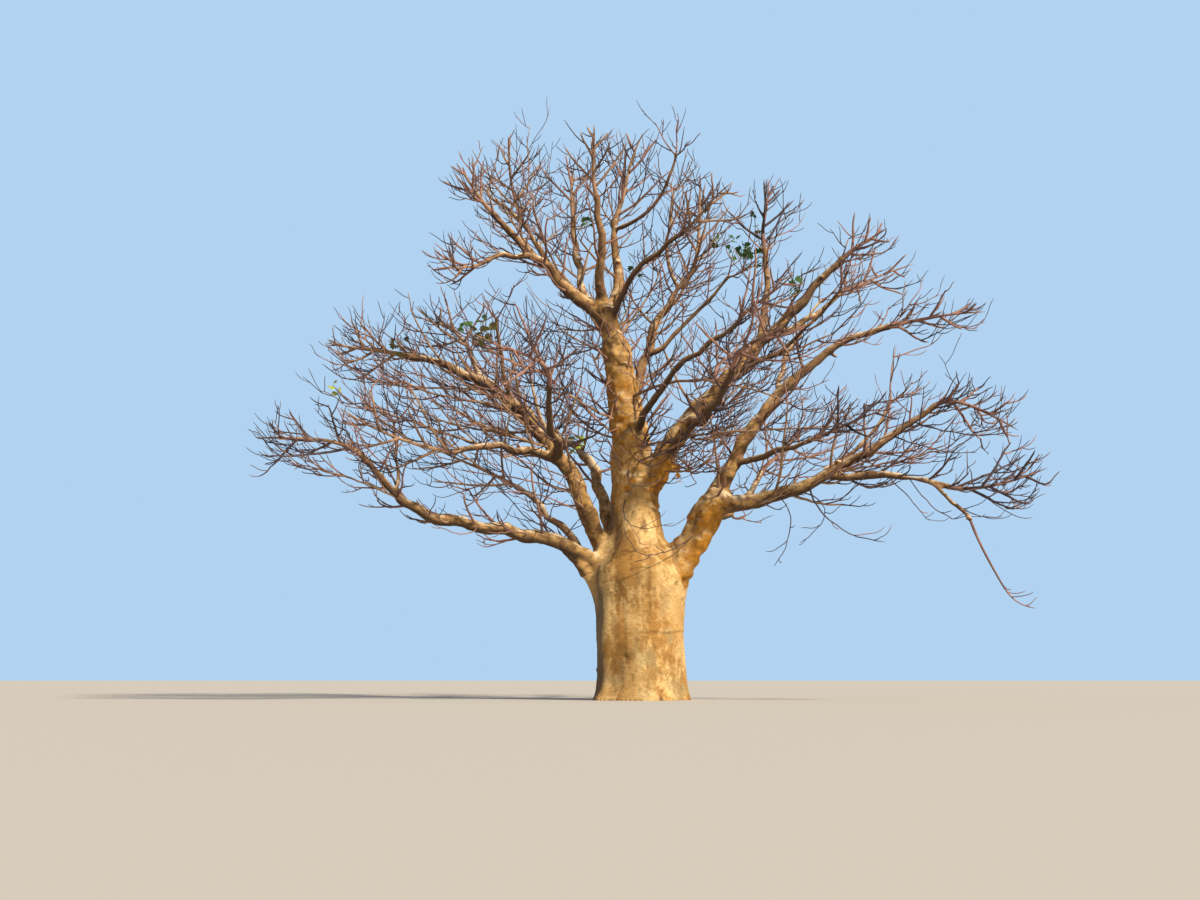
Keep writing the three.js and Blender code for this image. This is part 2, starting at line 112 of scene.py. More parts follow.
# Name, parent, share, tip, bow, thick, thin and foot.
BOUGHS = [
    ("left_low_bough", "trunk", 0.25, (-4.63, -1.2, 4.05), (0, 0, 0.5), 0.195, 0.125),
    ("left_low_rise", "left_low_bough", 1, (-6.25, -1.8, 5.43), (-0.06, 0, -0.08), 0.124, 0.066),
    ("left_main_bough", "trunk", 0.27, (-5.42, -0.6, 7.96), (0.76, -0.15, 0.87), 0.26, 0.075, (-0.6, 0, 0)),
    ("left_mid_bough", "left_main_bough", 0.4, (-4.0, -2.4, 5.45), (-0.1, 0, 0.18), 0.115, 0.062),
    ("left_rising_bough", "left_main_bough", 0.56, (-4.13, 1.2, 8.45), (-0.1, -0.1, -0.16), 0.125, 0.062),
    ("left_back_low_bough", "trunk", 0.3, (-3.0, 2.0, 5.2), (0, -0.35, -0.05), 0.13, 0.062, (-0.5, 0.25, 0)),
    ("left_back_bough", "trunk", 0.3, (-1.9, 3.6, 6.6), (0.2, -0.65, 0.53), 0.21, 0.085, (-0.43, 0.3, 0)),
    ("top_left_bough", "trunk", 0.985, (-3.43, -1.0, 11.28), (-0.09, 0, -0.08), 0.19, 0.065),
    ("top_left_side_bough", "top_left_bough", 0.55, (-3.5, -1.85, 9.9), (0, 0, 0.16), 0.09, 0.05),
    ("top_back_left_bough", "trunk", 0.96, (-2.8, 0.8, 11.59), (-0.1, 0.1, -0.06), 0.14, 0.065),
    ("top_back_bough", "trunk", 0.94, (-1.6, 1.9, 12.1), (-0.3, 0.35, 0), 0.13, 0.06),
    ("top_centre_bough", "trunk", 0.995, (-1.0, -0.85, 11.75), (-0.04, -0.16, 0), 0.15, 0.065),
    ("top_right_bough", "trunk", 0.975, (-0.56, 0.6, 11.6), (0.15, 0.08, 0), 0.17, 0.075),
    ("top_front_bough", "trunk", 0.95, (1.0, -1.85, 10.6), (-0.15, -0.1, 0.25), 0.09, 0.048),
    ("inner_right_bough", "trunk", 0.64, (1.23, 1.4, 10.3), (-0.35, 0.12, 0.2), 0.16, 0.075),
    ("mid_right_bough", "trunk", 0.63, (2.07, -2.6, 8.22), (-0.15, -0.3, 0.35), 0.1, 0.05),
    ("right_main_bough", "trunk", 0.48, (4.74, -1.1, 10.16), (-0.3, 0.1, 0.12), 0.33, 0.07),
    ("right_upright_bough", "right_main_bough", 0.66, (3.05, -0.05, 10.7), (0.06, 0, -0.06), 0.11, 0.062),
    ("right_side_bough", "right_main_bough", 0.68, (5.0, 0.85, 9.85), (0, 0.06, -0.12), 0.105, 0.055),
    ("right_low_bough", "trunk", 0.215, (1.76, -0.6, 4.56), (0.11, 0, -0.06), 0.49, 0.295),
    ("right_arm_bough", "right_low_bough", 0.97, (6.61, -1.9, 6.55), (0.06, -0.12, -0.52), 0.215, 0.062),
    ("right_far_low_bough", "right_arm_bough", 0.5, (6.65, -2.7, 4.6), (0, 0, 0.12), 0.11, 0.058),
    ("right_droop_bough", "right_far_low_bough", 0.7, (7.0, -3.05, 3.85), (0.06, -0.06, 0.12), 0.06, 0.042),
    ("right_mid_bough", "right_low_bough", 0.97, (5.83, -0.9, 8.6), (-0.42, 0.1, 0.64), 0.215, 0.062),
    ("right_mid_side_bough", "right_mid_bough", 0.16, (3.74, -2.3, 5.7), (0, 0, -0.06), 0.09, 0.05),
    ("front_left_bough", "left_main_bough", 0.42, (-2.0, -3.5, 6.7), (0, -0.15, -0.25), 0.125, 0.06),
    ("front_right_bough", "right_main_bough", 0.33, (1.9, -3.7, 7.0), (0, -0.15, -0.35), 0.14, 0.062),
    ("back_centre_bough", "trunk", 0.7, (-0.7, 3.3, 8.7), (0, 0.15, -0.3), 0.15, 0.068),
    ("back_right_bough", "right_main_bough", 0.36, (2.1, 3.3, 8.1), (0, 0.15, -0.3), 0.15, 0.068),
    ("back_right_low_bough", "right_low_bough", 0.8, (3.2, 3.1, 5.7), (0, 0, -0.25), 0.17, 0.068),
]
BOUGH_TAPER, BOUGH_COLLAR, BOUGH_COLLAR_REACH, BOUGH_SWAY = 0.8, 0.45, 1.6, 0.015

# Slimmer limbs between the boughs, in the same columns. They are fused with the boughs' bark.
SIDE_LIMBS = [
    ("left_riser", "left_low_rise", 0.5, (-5.65, -1.0, 6.35), (0.08, 0.05, 0), 0.05, 0.032),
    ("left_upright", "left_main_bough", 0.45, (-2.56, 0.3, 7.5), (-0.06, 0, -0.05), 0.055, 0.034),
    ("left_inner", "left_main_bough", 0.62, (-3.3, -1.3, 8.7), (-0.12, 0, -0.1), 0.07, 0.038),
    ("top_nest_limb", "top_back_left_bough", 0.93, (-3.78, 1.8, 12.8), (-0.1, 0, 0.05), 0.06, 0.032),
    ("top_side_limb", "top_right_bough", 0.9, (0.9, -0.6, 12.9), (0.2, -0.1, -0.3), 0.06, 0.032),
    ("inner_left_limb", "inner_right_bough", 0.93, (1.0, 2.0, 12.9), (-0.2, 0, -0.1), 0.06, 0.032),
    ("inner_low_limb", "inner_right_bough", 0.5, (2.2, 0.2, 10.1), (0, 0, -0.2), 0.075, 0.036),
    ("right_inner_limb", "right_mid_bough", 0.48, (4.6, 1.4, 9.8), (-0.25, 0, -0.05), 0.08, 0.036),
    ("right_cross_limb", "right_main_bough", 0.45, (4.4, -2.3, 9.0), (0, 0, -0.2), 0.08, 0.036),
    ("right_arm_side", "right_arm_bough", 0.45, (5.9, -0.6, 6.9), (0, 0.1, -0.2), 0.075, 0.036),
]
ALL_BOUGHS = BOUGHS + SIDE_LIMBS
print(len(BOUGHS), "boughs and", len(SIDE_LIMBS), "side limbs")

# %% [markdown]
# ## Chance that repeats
# Growth looks natural when places, angles and lengths vary a little, but a rebuilt tree has to come out the
# same. Blender and Python have random generators. A sine hash of a twig's own number, as in the source, lets
# a twig be asked for its chance in any order.

# %% Seeded numbers and directions
FOR_SWAY, FOR_WAVE, FOR_TURN, FOR_PLACE, FOR_LEAN, FOR_LENGTH, FOR_LIFT, FOR_TINT = range(1, 9)
GOLDEN_ANGLE = math.pi * (3 - math.sqrt(5))
UP = np.array([0.0, 0.0, 1.0])


def seeded(number, purpose):
    """A number from 0 to 1: the fraction of a large multiple of the sine of the two whole numbers."""
    wave = np.sin(12.9898 * np.asarray(number, float) + 78.233 * purpose) * 43758.5453
    return wave - np.floor(wave)


def unit(vectors):
    """Each vector divided by its own length."""
    return vectors / np.maximum(np.linalg.norm(vectors, axis=-1, keepdims=True), 1e-9)


def across_from(tangents):
    """A level direction square to each tangent: up crossed with it, or X where the tangent is upright."""
    level = np.cross(UP, tangents)
    upright = np.linalg.norm(level, axis=-1, keepdims=True) < 0.1
    return np.where(upright, np.array([1.0, 0.0, 0.0]), unit(level))


def blend(low, high, share):
    """The value that share of the way from low to high."""
    return low + (high - low) * share


def smooth_step(value, low, high):
    """0 below low, 1 above high, and 3t squared less 2t cubed between them."""
    share = np.clip((value - low) / (high - low), 0, 1)
    return share * share * (3 - 2 * share)


def bell(distance, width):
    """1 at no distance, falling as e to the minus square of the distance over the width."""
    return np.exp(-((distance / width) ** 2))


def quadratic(start, bend, end, share):
    """The curve that leaves start towards bend and comes in to end from there."""
    return start * (1 - share) ** 2 + bend * 2 * share * (1 - share) + end * share**2


# %% [markdown]
# ## Middle lines and radii
# A limb is a line with a radius at each place on it. Curve objects could carry both, but plain functions of
# one share from 0 to 1 can be asked for any number of places at once, and twigs find their feet with them.

# %% Middle line and radius of the trunk
knot_heights = TRUNK_LINE[:, 0]
padded = np.vstack([TRUNK_LINE[:1], TRUNK_LINE, TRUNK_LINE[-1:]])
knot_slopes = (padded[2:, 1:] - padded[:-2, 1:]) / (padded[2:, :1] - padded[:-2, :1])


def trunk_middle(height):
    """Between two knots a cubic, whose slope at a knot runs from the knot before it to the knot after it."""
    height = np.asarray(height, float)
    low = np.clip(np.searchsorted(knot_heights, height, side="right") - 1, 0, len(knot_heights) - 2)
    span = (knot_heights[low + 1] - knot_heights[low])[..., None]
    t = (height[..., None] - knot_heights[low][..., None]) / span
    level = (
        (2 * t**3 - 3 * t**2 + 1) * TRUNK_LINE[low, 1:]
        + (t**3 - 2 * t**2 + t) * span * knot_slopes[low]
        + (3 * t**2 - 2 * t**3) * TRUNK_LINE[low + 1, 1:]
        + (t**3 - t**2) * span * knot_slopes[low + 1]
    )
    return np.concatenate([level, height[..., None]], axis=-1)


def trunk_radius(height, leader_foot=LEADER_FOOT):
    """Bole, flare and swell below, and above the change the leader, which tapers to its tip."""
    flare = FLARE * np.exp(-height / FLARE_HEIGHT)
    swell = SWELL * bell(height - SWELL_HEIGHT, SWELL_SPAN)
    rise = np.maximum(height - LEADER_FOOT, 0) / (TRUNK_HEIGHT - LEADER_FOOT)
    leader = blend(LEADER_FOOT_RADIUS, LEADER_TIP_RADIUS, rise)
    return blend(BOLE_RADIUS + flare + swell, leader, smooth_step(height, BOLE_TOP, leader_foot))


# %% Middle line and radius of each bough
WANDER, WANDER_KNOT, MOST_KNOTS = 0.075, 0.42, 40


def bough_line(root, tip, bow, index):
    """Straight from root to tip, plus the bow as a parabola, a small seeded sway as one whole sine, and
    seeded steps aside at evenly spaced knots, with straight runs between them and faded at both ends."""
    along = tip - root
    level = across_from(along)
    upward = unit(np.cross(along, level))
    turn = 2 * math.pi * seeded(index, FOR_SWAY)
    length = float(np.linalg.norm(along))
    sway = (level * math.cos(turn) + upward * math.sin(turn)) * BOUGH_SWAY * length
    knots = np.linspace(0, 1, max(int(length / WANDER_KNOT), 3) + 1)
    numbers = index * MOST_KNOTS + np.arange(len(knots))
    steps = [2 * seeded(numbers, use) - 1 for use in (FOR_WAVE, FOR_TURN)]

    def line(share):
        share = np.asarray(share, float)
        aside, above = (np.interp(share, knots, step)[..., None] for step in steps)
        share = share[..., None]
        fade = WANDER * np.sin(math.pi * np.clip(share, 0, 1)) ** 0.5
        middle = root + along * share + bow * 4 * share * (1 - share) + sway * np.sin(2 * math.pi * share)
        return middle + (level * aside + upward * above) * fade

    return line


def bough_radius(thick, thin, length):
    """From thick to thin, plus a collar that fades within a few radii of the root."""
    def radius(share):
        collar = BOUGH_COLLAR * thick * np.exp(-share * length / (BOUGH_COLLAR_REACH * thick))
        return blend(thick, thin, share**BOUGH_TAPER) + collar

    return radius


limbs = {
    "trunk": {
        "line": lambda share: trunk_middle(TRUNK_HEIGHT * np.asarray(share, float)),
        "radius": lambda share: trunk_radius(TRUNK_HEIGHT * np.asarray(share, float), LEADER_FOOT_IN_DEPTH),
        "length": TRUNK_HEIGHT,
        "thin": LEADER_TIP_RADIUS,
    }
}
for index, (name, parent, share, tip, bow, thick, thin, *foot) in enumerate(ALL_BOUGHS):
    root = limbs[parent]["line"](share) + np.array(foot[0] if foot else (0, 0, 0), float)
    length = float(np.linalg.norm(np.array(tip) - root))
    limbs[name] = {
        "line": bough_line(root, np.array(tip, float), np.array(bow, float), index),
        "radius": bough_radius(thick, thin, length),
        "length": length,
        "thin": thin,
    }
print("longest bough", round(max(limbs[name]["length"] for name, *_ in ALL_BOUGHS), 2), "m")

# %% [markdown]
# ## Tubes
# Limbs and twigs are round profiles carried along their lines. A curve with a bevel would do that for one
# line. Here one function carries the rings of thousands at once: it loops over the few rings of a line, and
# each step handles every line in one array.

# %% Rings along lines
def tangents_of(points):
    """The direction from the point before to the point after, along the second last axis."""
    after = np.concatenate([points[..., 1:, :], points[..., -1:, :]], axis=-2)
    before = np.concatenate([points[..., :1, :], points[..., :-1, :]], axis=-2)
    return unit(after - before)


def rings_along(points, radii, sides):
    """Circles square to lines (lines, stations, 3), carried along untwisted: (lines, stations, sides, 3)."""
    tangents = tangents_of(points)
    angle = 2 * math.pi * np.arange(sides) / sides
    across = across_from(tangents[:, 0])
    rings = np.empty((*points.shape[:2], sides, 3))
    for station in range(points.shape[1]):
        tangent = tangents[:, station]
        across = unit(across - tangent * np.sum(across * tangent, axis=-1, keepdims=True))
        other = np.cross(tangent, across)
        out = across[:, None] * np.cos(angle)[:, None] + other[:, None] * np.sin(angle)[:, None]
        rings[:, station] = points[:, station, None] + out * radii[:, station, None, None]
    return rings


# %% Closed tubes
def closed_tubes(rings):
    """Quads between the rings and a fan of triangles to one point at each end. Returns points, corner
    numbers, face sizes and the line that each face is on."""
    lines, stations, sides, _ = rings.shape
    points = np.concatenate([rings.reshape(lines, -1, 3), rings[:, [0, -1]].mean(axis=2)], axis=1)
    side = np.arange(sides)
    beside = (side + 1) % sides
    low = sides * np.arange(stations - 1)[:, None]
    quads = np.stack([low + side, low + beside, low + sides + beside, low + sides + side], axis=-1)
    middle, last = stations * sides, low[-1, 0] + sides
    foot_fan = np.stack([np.full(sides, middle), beside, side], axis=-1)
    tip_fan = np.stack([np.full(sides, middle + 1), last + side, last + beside], axis=-1)
    corners = np.concatenate([some.ravel() for some in (quads, foot_fan, tip_fan)])
    sizes = np.repeat([4, 3], [quads.size // 4, 2 * sides])
    first = np.arange(lines)[:, None] * points.shape[1]
    line_of_face = np.repeat(np.arange(lines), len(sizes))
    return points.reshape(-1, 3), (corners + first).ravel(), np.tile(sizes, lines), line_of_face


def join_parts(parts):
    """Several (points, corners, sizes, face values) lists as one, with the corner numbers moved on."""
    points, corners, sizes, values = zip(*parts)
    offsets = np.cumsum([0] + [len(some) for some in points[:-1]])
    moved = [some + offset for some, offset in zip(corners, offsets)]
    return [np.concatenate(some) for some in (points, moved, sizes, values)]


# %% Meshes and pieces
def mesh_from(name, points, corners, sizes, material_numbers=None):
    """A mesh from whole arrays: coordinates, the corners of all faces in a row, and how many each has."""
    mesh = bpy.data.meshes.new(name)
    mesh.vertices.add(len(points))
    mesh.vertices.foreach_set("co", np.ascontiguousarray(points, np.float32).ravel())
    mesh.loops.add(len(corners))
    mesh.loops.foreach_set("vertex_index", np.ascontiguousarray(corners, np.int32))
    mesh.polygons.add(len(sizes))
    mesh.polygons.foreach_set("loop_start", np.ascontiguousarray(np.cumsum(sizes) - sizes, np.int32))
    if material_numbers is not None:
        mesh.polygons.foreach_set("material_index", np.ascontiguousarray(material_numbers, np.int32))
    mesh.update(calc_edges=True)
    mesh.shade_smooth()
    return mesh


def tree_piece(name, mesh):
    """An object that rides on the tree, and its triangles printed."""
    piece = new_object(name, mesh)
    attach(piece, "root")
    print(name, sum(polygon.loop_total - 2 for polygon in mesh.polygons), "triangles")
    return piece


# %% [markdown]
# ## Noise for bark
# Bark is never even: it has lumps, folds and dents of many sizes. A Displace modifier with a texture could
# push a surface about. Here smooth noise is worked out in arrays, so that a fold can be stretched along the
# trunk, faded by the limb's girth, and kept as a value that the material reads later.

# %% Smooth noise in arrays
def bumps(points, size, seed):
    """Noise from -1 to 1: hashed values at the corners of cells of that size, blended by
    6t^5 - 15t^4 + 10t^3."""
    cell = points / np.asarray(size, float) + 512.0
    low = np.floor(cell).astype(np.int64)
    part = cell - low
    weight = part**3 * (part * (part * 6 - 15) + 10)
    total = np.zeros(len(points))
    for corner in np.ndindex(2, 2, 2):
        key = (low + corner) @ np.array([73856093, 19349663, 83492791]) + seed * 2654435761
        key = (key ^ (key >> 13)) * 1274126177 & 0xFFFFFFFF
        key = (key ^ (key >> 16)) * 2246822519 & 0xFFFFFFFF
        value = ((key ^ (key >> 15)) & 0xFFFF) / 65535.0
        total += value * np.prod(np.where(corner, weight, 1 - weight), axis=1)
    return 2 * total - 1


# %% [markdown]
# ## Which limb a point is on
# Forks should flow together while slim limbs keep their girth, so each point of the bark has to know how far
# it is from the nearest limb and from the next one. Each limb is taken as a row of tapering rods.

# %% Distance to the limbs
ROD_COUNT = 14


def rods_of(names):
    """Start points, spans, start radii, radius changes and limb numbers of the rods of these limbs."""
    shares = np.linspace(0, 1, ROD_COUNT + 1)
    rows = []
    for number, name in enumerate(names):
        points, radius = limbs[name]["line"](shares), limbs[name]["radius"](shares)
        owner = np.full(ROD_COUNT, number)
        rows.append((points[:-1], np.diff(points, axis=0), radius[:-1], np.diff(radius), owner))
    return [np.concatenate(values) for values in zip(*rows)]


def distances_to(points, names):
    """For each point and limb, the distance to the limb's surface and its radius there, as two arrays."""
    surface = np.full((len(points), len(names)), np.inf)
    girth = np.zeros((len(points), len(names)))
    for start, span, thick, change, owner in zip(*rods_of(names)):
        offset = points - start
        share = np.clip(offset @ span / np.sum(span * span), 0, 1)
        radius = thick + change * share
        distance = np.linalg.norm(offset - share[:, None] * span, axis=1) - radius
        nearer = distance < surface[:, owner]
        surface[nearer, owner] = distance[nearer]
        girth[nearer, owner] = radius[nearer]
    return surface, girth


# %% [markdown]
# ## Bark over the trunk and boughs
# A real fork has no seam: bark runs from bole to bough in one skin. Separate tubes would cross with a hard
# line. So each group of limbs is made as closed tubes, a voxel Remesh modifier fuses them, and the fork is
# then smoothed where two limbs are near each other. The foot of a limb that belongs to the next group is a
# stub here, and from its takeover on it lies a little inside that limb's own bark.

# %% Groups of limbs and where one group's bark takes over from another's
# Limb: the length in metres from its root at which its own group's bark takes over.
TAKEOVER = {
    "left_low_bough": 1.9, "left_main_bough": 2.7, "left_back_low_bough": 1.5, "left_back_bough": 2.2,
    "top_left_bough": 0.9, "top_back_left_bough": 1.0, "top_back_bough": 1.0, "top_centre_bough": 0.9,
    "top_right_bough": 0.9, "top_front_bough": 1.1, "inner_right_bough": 1.2, "mid_right_bough": 1.3,
    "back_centre_bough": 1.2, "right_main_bough": 1.9, "right_arm_bough": 1.1, "right_mid_bough": 1.1,
    "back_right_low_bough": 1.3,
}
TAKEOVER_REACH, TAKEOVER_DEPTH = 0.3, 0.04
# Piece: its boughs, its side limbs and the voxels of its skin.
BARK_PIECES = {
    "trunk_bark": (["trunk", "right_low_bough"], [], 0.032),
    "right_limb_bark": ([
        "right_main_bough", "right_upright_bough", "right_side_bough", "front_right_bough",
        "back_right_bough", "right_arm_bough", "right_far_low_bough", "right_droop_bough",
        "right_mid_bough", "right_mid_side_bough", "back_right_low_bough",
    ], ["right_inner_limb", "right_cross_limb", "right_arm_side"], 0.024),
    "left_limb_bark": ([
        "left_low_bough", "left_low_rise", "left_main_bough", "left_mid_bough", "left_rising_bough",
        "left_back_low_bough", "left_back_bough", "front_left_bough",
    ], ["left_riser", "left_upright", "left_inner"], 0.024),
    "top_limb_bark": ([
        "top_left_bough", "top_left_side_bough", "top_back_left_bough", "top_back_bough",
        "top_centre_bough", "top_right_bough", "top_front_bough", "inner_right_bough", "mid_right_bough",
        "back_centre_bough",
    ], ["top_nest_limb", "top_side_limb", "inner_left_limb", "inner_low_limb"], 0.022),
}

# %% Tube of the trunk
EDGE_ANGLE, EDGE_WIDTH, EDGE_HEIGHT = math.radians(218), math.radians(10), 0.09
EDGE_FADE = (2.2, 3.4)
TRUNK_STATIONS, TRUNK_SIDES, DOME_HEIGHT = 130, 96, 0.8


def turned_from(angle, middle):
    """The angle from the middle one, between minus and plus half a turn."""
    return np.angle(np.exp(1j * (angle - middle)))


def trunk_rings():
    """The source's lofted trunk on a finer grid, with a rounded edge down the bole under the low left bough,
    and a rounded top inside the top boughs."""
    height = np.linspace(0, TRUNK_HEIGHT, TRUNK_STATIONS)[:, None]
    angle = (2 * math.pi * np.arange(TRUNK_SIDES) / TRUNK_SIDES)[None]
    edge = EDGE_HEIGHT * bell(turned_from(angle, EDGE_ANGLE), EDGE_WIDTH)
    edge = edge * (1 - smooth_step(height, *EDGE_FADE))
    bulge = LOBE_DEPTH * np.exp(-height / LOBE_HEIGHT) * np.cos(LOBES * angle) + edge
    rings = trunk_middle(height[:, 0])[:, None] + np.zeros((1, TRUNK_SIDES, 3))
    rings[..., 0] += (trunk_radius(height) + bulge) * np.cos(angle)
    rings[..., 1] += (trunk_radius(height, LEADER_FOOT_IN_DEPTH) + bulge) * np.sin(angle)
    cap = np.linspace(0, math.pi / 2, 6)[1:-1, None, None]
    top = rings[-1].mean(axis=0)
    dome = top + (rings[-1] - top) * np.cos(cap) + UP * LEADER_TIP_RADIUS * DOME_HEIGHT * np.sin(cap)
    return np.concatenate([rings, dome])[None]


# %% Tubes of the boughs
KNUCKLE, KNUCKLE_REACH, TIP_DOME = 0.3, 2.5, 0.6
LIMB_GAP, LIMB_SIDES = 0.07, 20


def limb_rings(name, begin, end, inner_foot=False, inner_tip=False):
    """The tube of a limb from begin to end, in metres from its root. An inner end is drawn in a little, so
    that it lies inside the bark that takes over, a free tip has a knuckle, and both ends are domed."""
    limb = limbs[name]
    thin = limb["thin"]
    along = np.linspace(begin, end, max(int((end - begin) / LIMB_GAP), 4) + 1)
    share = along / limb["length"]
    radius = limb["radius"](share)
    if not inner_tip:
        radius = radius + KNUCKLE * thin * bell(end - along, KNUCKLE_REACH * thin)
    for inner, edge, inwards in ((inner_foot, begin, 1), (inner_tip, end, -1)):
        if inner:
            drawn_in = smooth_step(along, edge + 2 * TAKEOVER_REACH * inwards, edge)
            radius = radius * (1 - TAKEOVER_DEPTH * drawn_in)
    points = limb["line"](share)
    ahead = tangents_of(points)
    cap = np.linspace(0, math.pi / 2, 5)[1:-1]
    foot_points = points[0] - ahead[0] * (radius[0] * np.sin(cap))[:, None]
    tip_points = points[-1] + ahead[-1] * (radius[-1] * np.sin(cap) * TIP_DOME)[:, None]
    points = np.concatenate([foot_points[::-1], points, tip_points])
    radius = np.concatenate([(radius[0] * np.cos(cap))[::-1], radius, radius[-1] * np.cos(cap)])
    return rings_along(points[None], radius[None], LIMB_SIDES)


# %% Ridges from the bole into the low boughs
WEB_STATIONS, WEB_SIDES = 24, 16
# Bough, foot, the bough's share where the web ends, the share over the bend and the drop from there, the
# radii at both ends and how much thicker the middle is.
WEBS = [
    ("left_low_bough", (-0.92, -0.05, 1.8), 0.42, 0.2, 0.2, (0.08, 0.09), 0.08),
    ("right_low_bough", (0.84, -0.1, 1.75), 0.62, 0.42, 0.28, (0.1, 0.2), 0.06),
]


def web_rings(bough_name, foot, top_share, bend_share, drop, radii, swell):
    """A ridge that runs from the bole's edge up into a low bough: a quadratic curve that is thickest in the
    middle, bent towards a point a little under the bough."""
    share = np.linspace(0, 1, WEB_STATIONS)[:, None]
    bough = limbs[bough_name]["line"]
    points = quadratic(np.array(foot), bough(bend_share) - UP * drop, bough(top_share), share)
    radius = blend(*radii, share[:, 0]) + swell * np.sin(math.pi * share[:, 0])
    return rings_along(points[None], radius[None], WEB_SIDES)


# %% Tubes of one group
def tubes_of_group(group):
    """The closed tubes of one group: its limbs, and stubs of the limbs that other groups take over."""
    tubes = []
    for name, parent, *_ in ALL_BOUGHS:
        length = limbs[name]["length"]
        takeover = TAKEOVER.get(name)
        if name in group and takeover and parent not in group:
            tubes.append(limb_rings(name, takeover - TAKEOVER_REACH, length, inner_foot=True))
        elif name in group:
            tubes.append(limb_rings(name, 0, length))
        elif parent in group:
            tubes.append(limb_rings(name, 0, takeover + TAKEOVER_REACH, inner_tip=True))
    if "trunk" in group:
        tubes += [trunk_rings(), *(web_rings(*web) for web in WEBS)]
    return [closed_tubes(rings) for rings in tubes]


# %% [markdown]
# ## Broken stubs, pits and buttons
# Where a baobab has lost a limb it keeps a short blunt stub, and its bark is dotted with small pits and
# buttons. They are placed by seeded numbers. Stubs are tubes that fuse with the bark, and pits and buttons
# are bell-shaped moves of the surface.

# %% Stubs on the boughs
STUBS_ON_A_METRE, STUB_SIDES = 0.55, 12
STUB_OUTLINE = np.array([(0, 1.15), (0.6, 0.95), (0.86, 1.0), (0.97, 0.8), (1.0, 0.42)])
LOW_STUBS_BEGIN = {"right_low_bough": 1.9}


def stub_tubes(group, seed):
    """Short tubes that stand off the boughs, leaning forward, and end in a dome."""
    rng = np.random.default_rng(seed)
    found = []
    for name in group:
        if name == "trunk":
            continue
        limb = limbs[name]
        begin = LOW_STUBS_BEGIN.get(name, TAKEOVER.get(name, 0.5) + 0.3)
        for _ in range(max(int((limb["length"] - begin) * STUBS_ON_A_METRE), 1)):
            share = rng.uniform(begin, limb["length"] * 0.96) / limb["length"]
            foot = limb["line"](share)
            tangent = unit(limb["line"](min(share + 0.02, 1)) - foot)
            turn, lean = rng.uniform(0, 2 * math.pi), rng.uniform(0.7, 1.2)
            level = across_from(tangent)
            out = level * math.cos(turn) + np.cross(tangent, level) * math.sin(turn)
            ahead = tangent * math.cos(lean) + out * math.sin(lean)
            girth = float(limb["radius"](share))
            radius = girth * rng.uniform(0.28, 0.5)
            reach = girth * 1.15 + rng.uniform(0.03, 0.16)
            points = foot + ahead * reach * STUB_OUTLINE[:, :1]
            radii = radius * STUB_OUTLINE[None, :, 1]
            found.append(closed_tubes(rings_along(points[None], radii, STUB_SIDES)))
    return found


# %% From tubes to one skin
def fused(name, parts, voxel):
    """One closed skin round all the tubes, from a voxel Remesh modifier that is applied."""
    points, corners, sizes, _ = parts
    rough = new_object(name + "_tubes", mesh_from(name + "_tubes", points, corners, sizes))
    remesh = rough.modifiers.new("fuse", "REMESH")
    remesh.mode = "VOXEL"
    remesh.voxel_size = voxel
    mesh = bpy.data.meshes.new_from_object(rough.evaluated_get(bpy.context.evaluated_depsgraph_get()))
    bpy.data.objects.remove(rough)
    mesh.name = name
    return mesh


def values_of(elements, what, size, kind):
    """One property of all vertices or edges, as an array with a row for each."""
    values = np.empty(size * len(elements), kind)
    elements.foreach_get(what, values)
    return values.reshape(-1, size)


def neighbour_mean(points, first, second, count):
    """The mean of each point's neighbours along the edges, by counting sums."""
    total = [
        np.bincount(first, points[second, axis], len(points))
        + np.bincount(second, points[first, axis], len(points))
        for axis in range(3)
    ]
    return np.stack(total, axis=1) / count[:, None]


# %% [markdown]
# ## Relief of the bark
# The bole has long upright folds and broad dents. Its right half has a crease like a tight belt, with a
# swollen lip above it. Higher up the folds turn into lumps that shrink with the limb. Each of these is a
# move along the normal. What lies deep is kept as an attribute, so that the material can paint shade into
# it.

# %% Crease, pits and buttons as moves along the normals
CREASE_HEIGHT, CREASE_MIDDLE, CREASE_HALF = 1.52, math.radians(-42), math.radians(58)
LIP, LIP_RISE, LIP_WIDTH = 0.02, 0.05, 0.05
GROOVE, GROOVE_WIDTH = 0.022, 0.028


def crease_relief(points):
    """A belt round the bole's right front: a lip above it and a groove below, both bells over height.
    It slopes and waves a little with the angle round the bole, and fades towards its ends."""
    angle = turned_from(np.arctan2(points[:, 1], points[:, 0]), CREASE_MIDDLE)
    reach = 1 - smooth_step(np.abs(angle), 0.35 * CREASE_HALF, 1.15 * CREASE_HALF)
    height = CREASE_HEIGHT + 0.05 * np.sin(2.3 * angle) - 0.05 * angle + 0.015 * np.sin(9 * angle)
    rise = points[:, 2] - height
    groove = GROOVE * bell(rise, GROOVE_WIDTH)
    return (LIP * bell(rise - LIP_RISE, LIP_WIDTH) - groove) * reach, groove / 0.03 * reach


def spots_relief(points, count, sizes, heights, seed):
    """Pits or buttons at seeded points of the surface: a sum of bells, each of its own size and height."""
    rng = np.random.default_rng(seed)
    centres = points[rng.integers(0, len(points), count)]
    size = rng.uniform(*sizes, count)
    height = rng.uniform(*heights, count)
    relief = np.zeros(len(points))
    for centre, reach, rise in zip(centres, size, height):
        near = np.abs(points - centre).max(axis=1) < 3 * reach
        relief[near] += rise * bell(np.linalg.norm(points[near] - centre, axis=1), reach)
    return relief


# %% Relief of the whole bark
PIT_COUNT, PIT_SIZES, PIT_HEIGHTS = 110, (0.03, 0.06), (-0.026, -0.01)
BUTTON_COUNT, BUTTON_SIZES, BUTTON_HEIGHTS = 90, (0.04, 0.09), (0.01, 0.03)


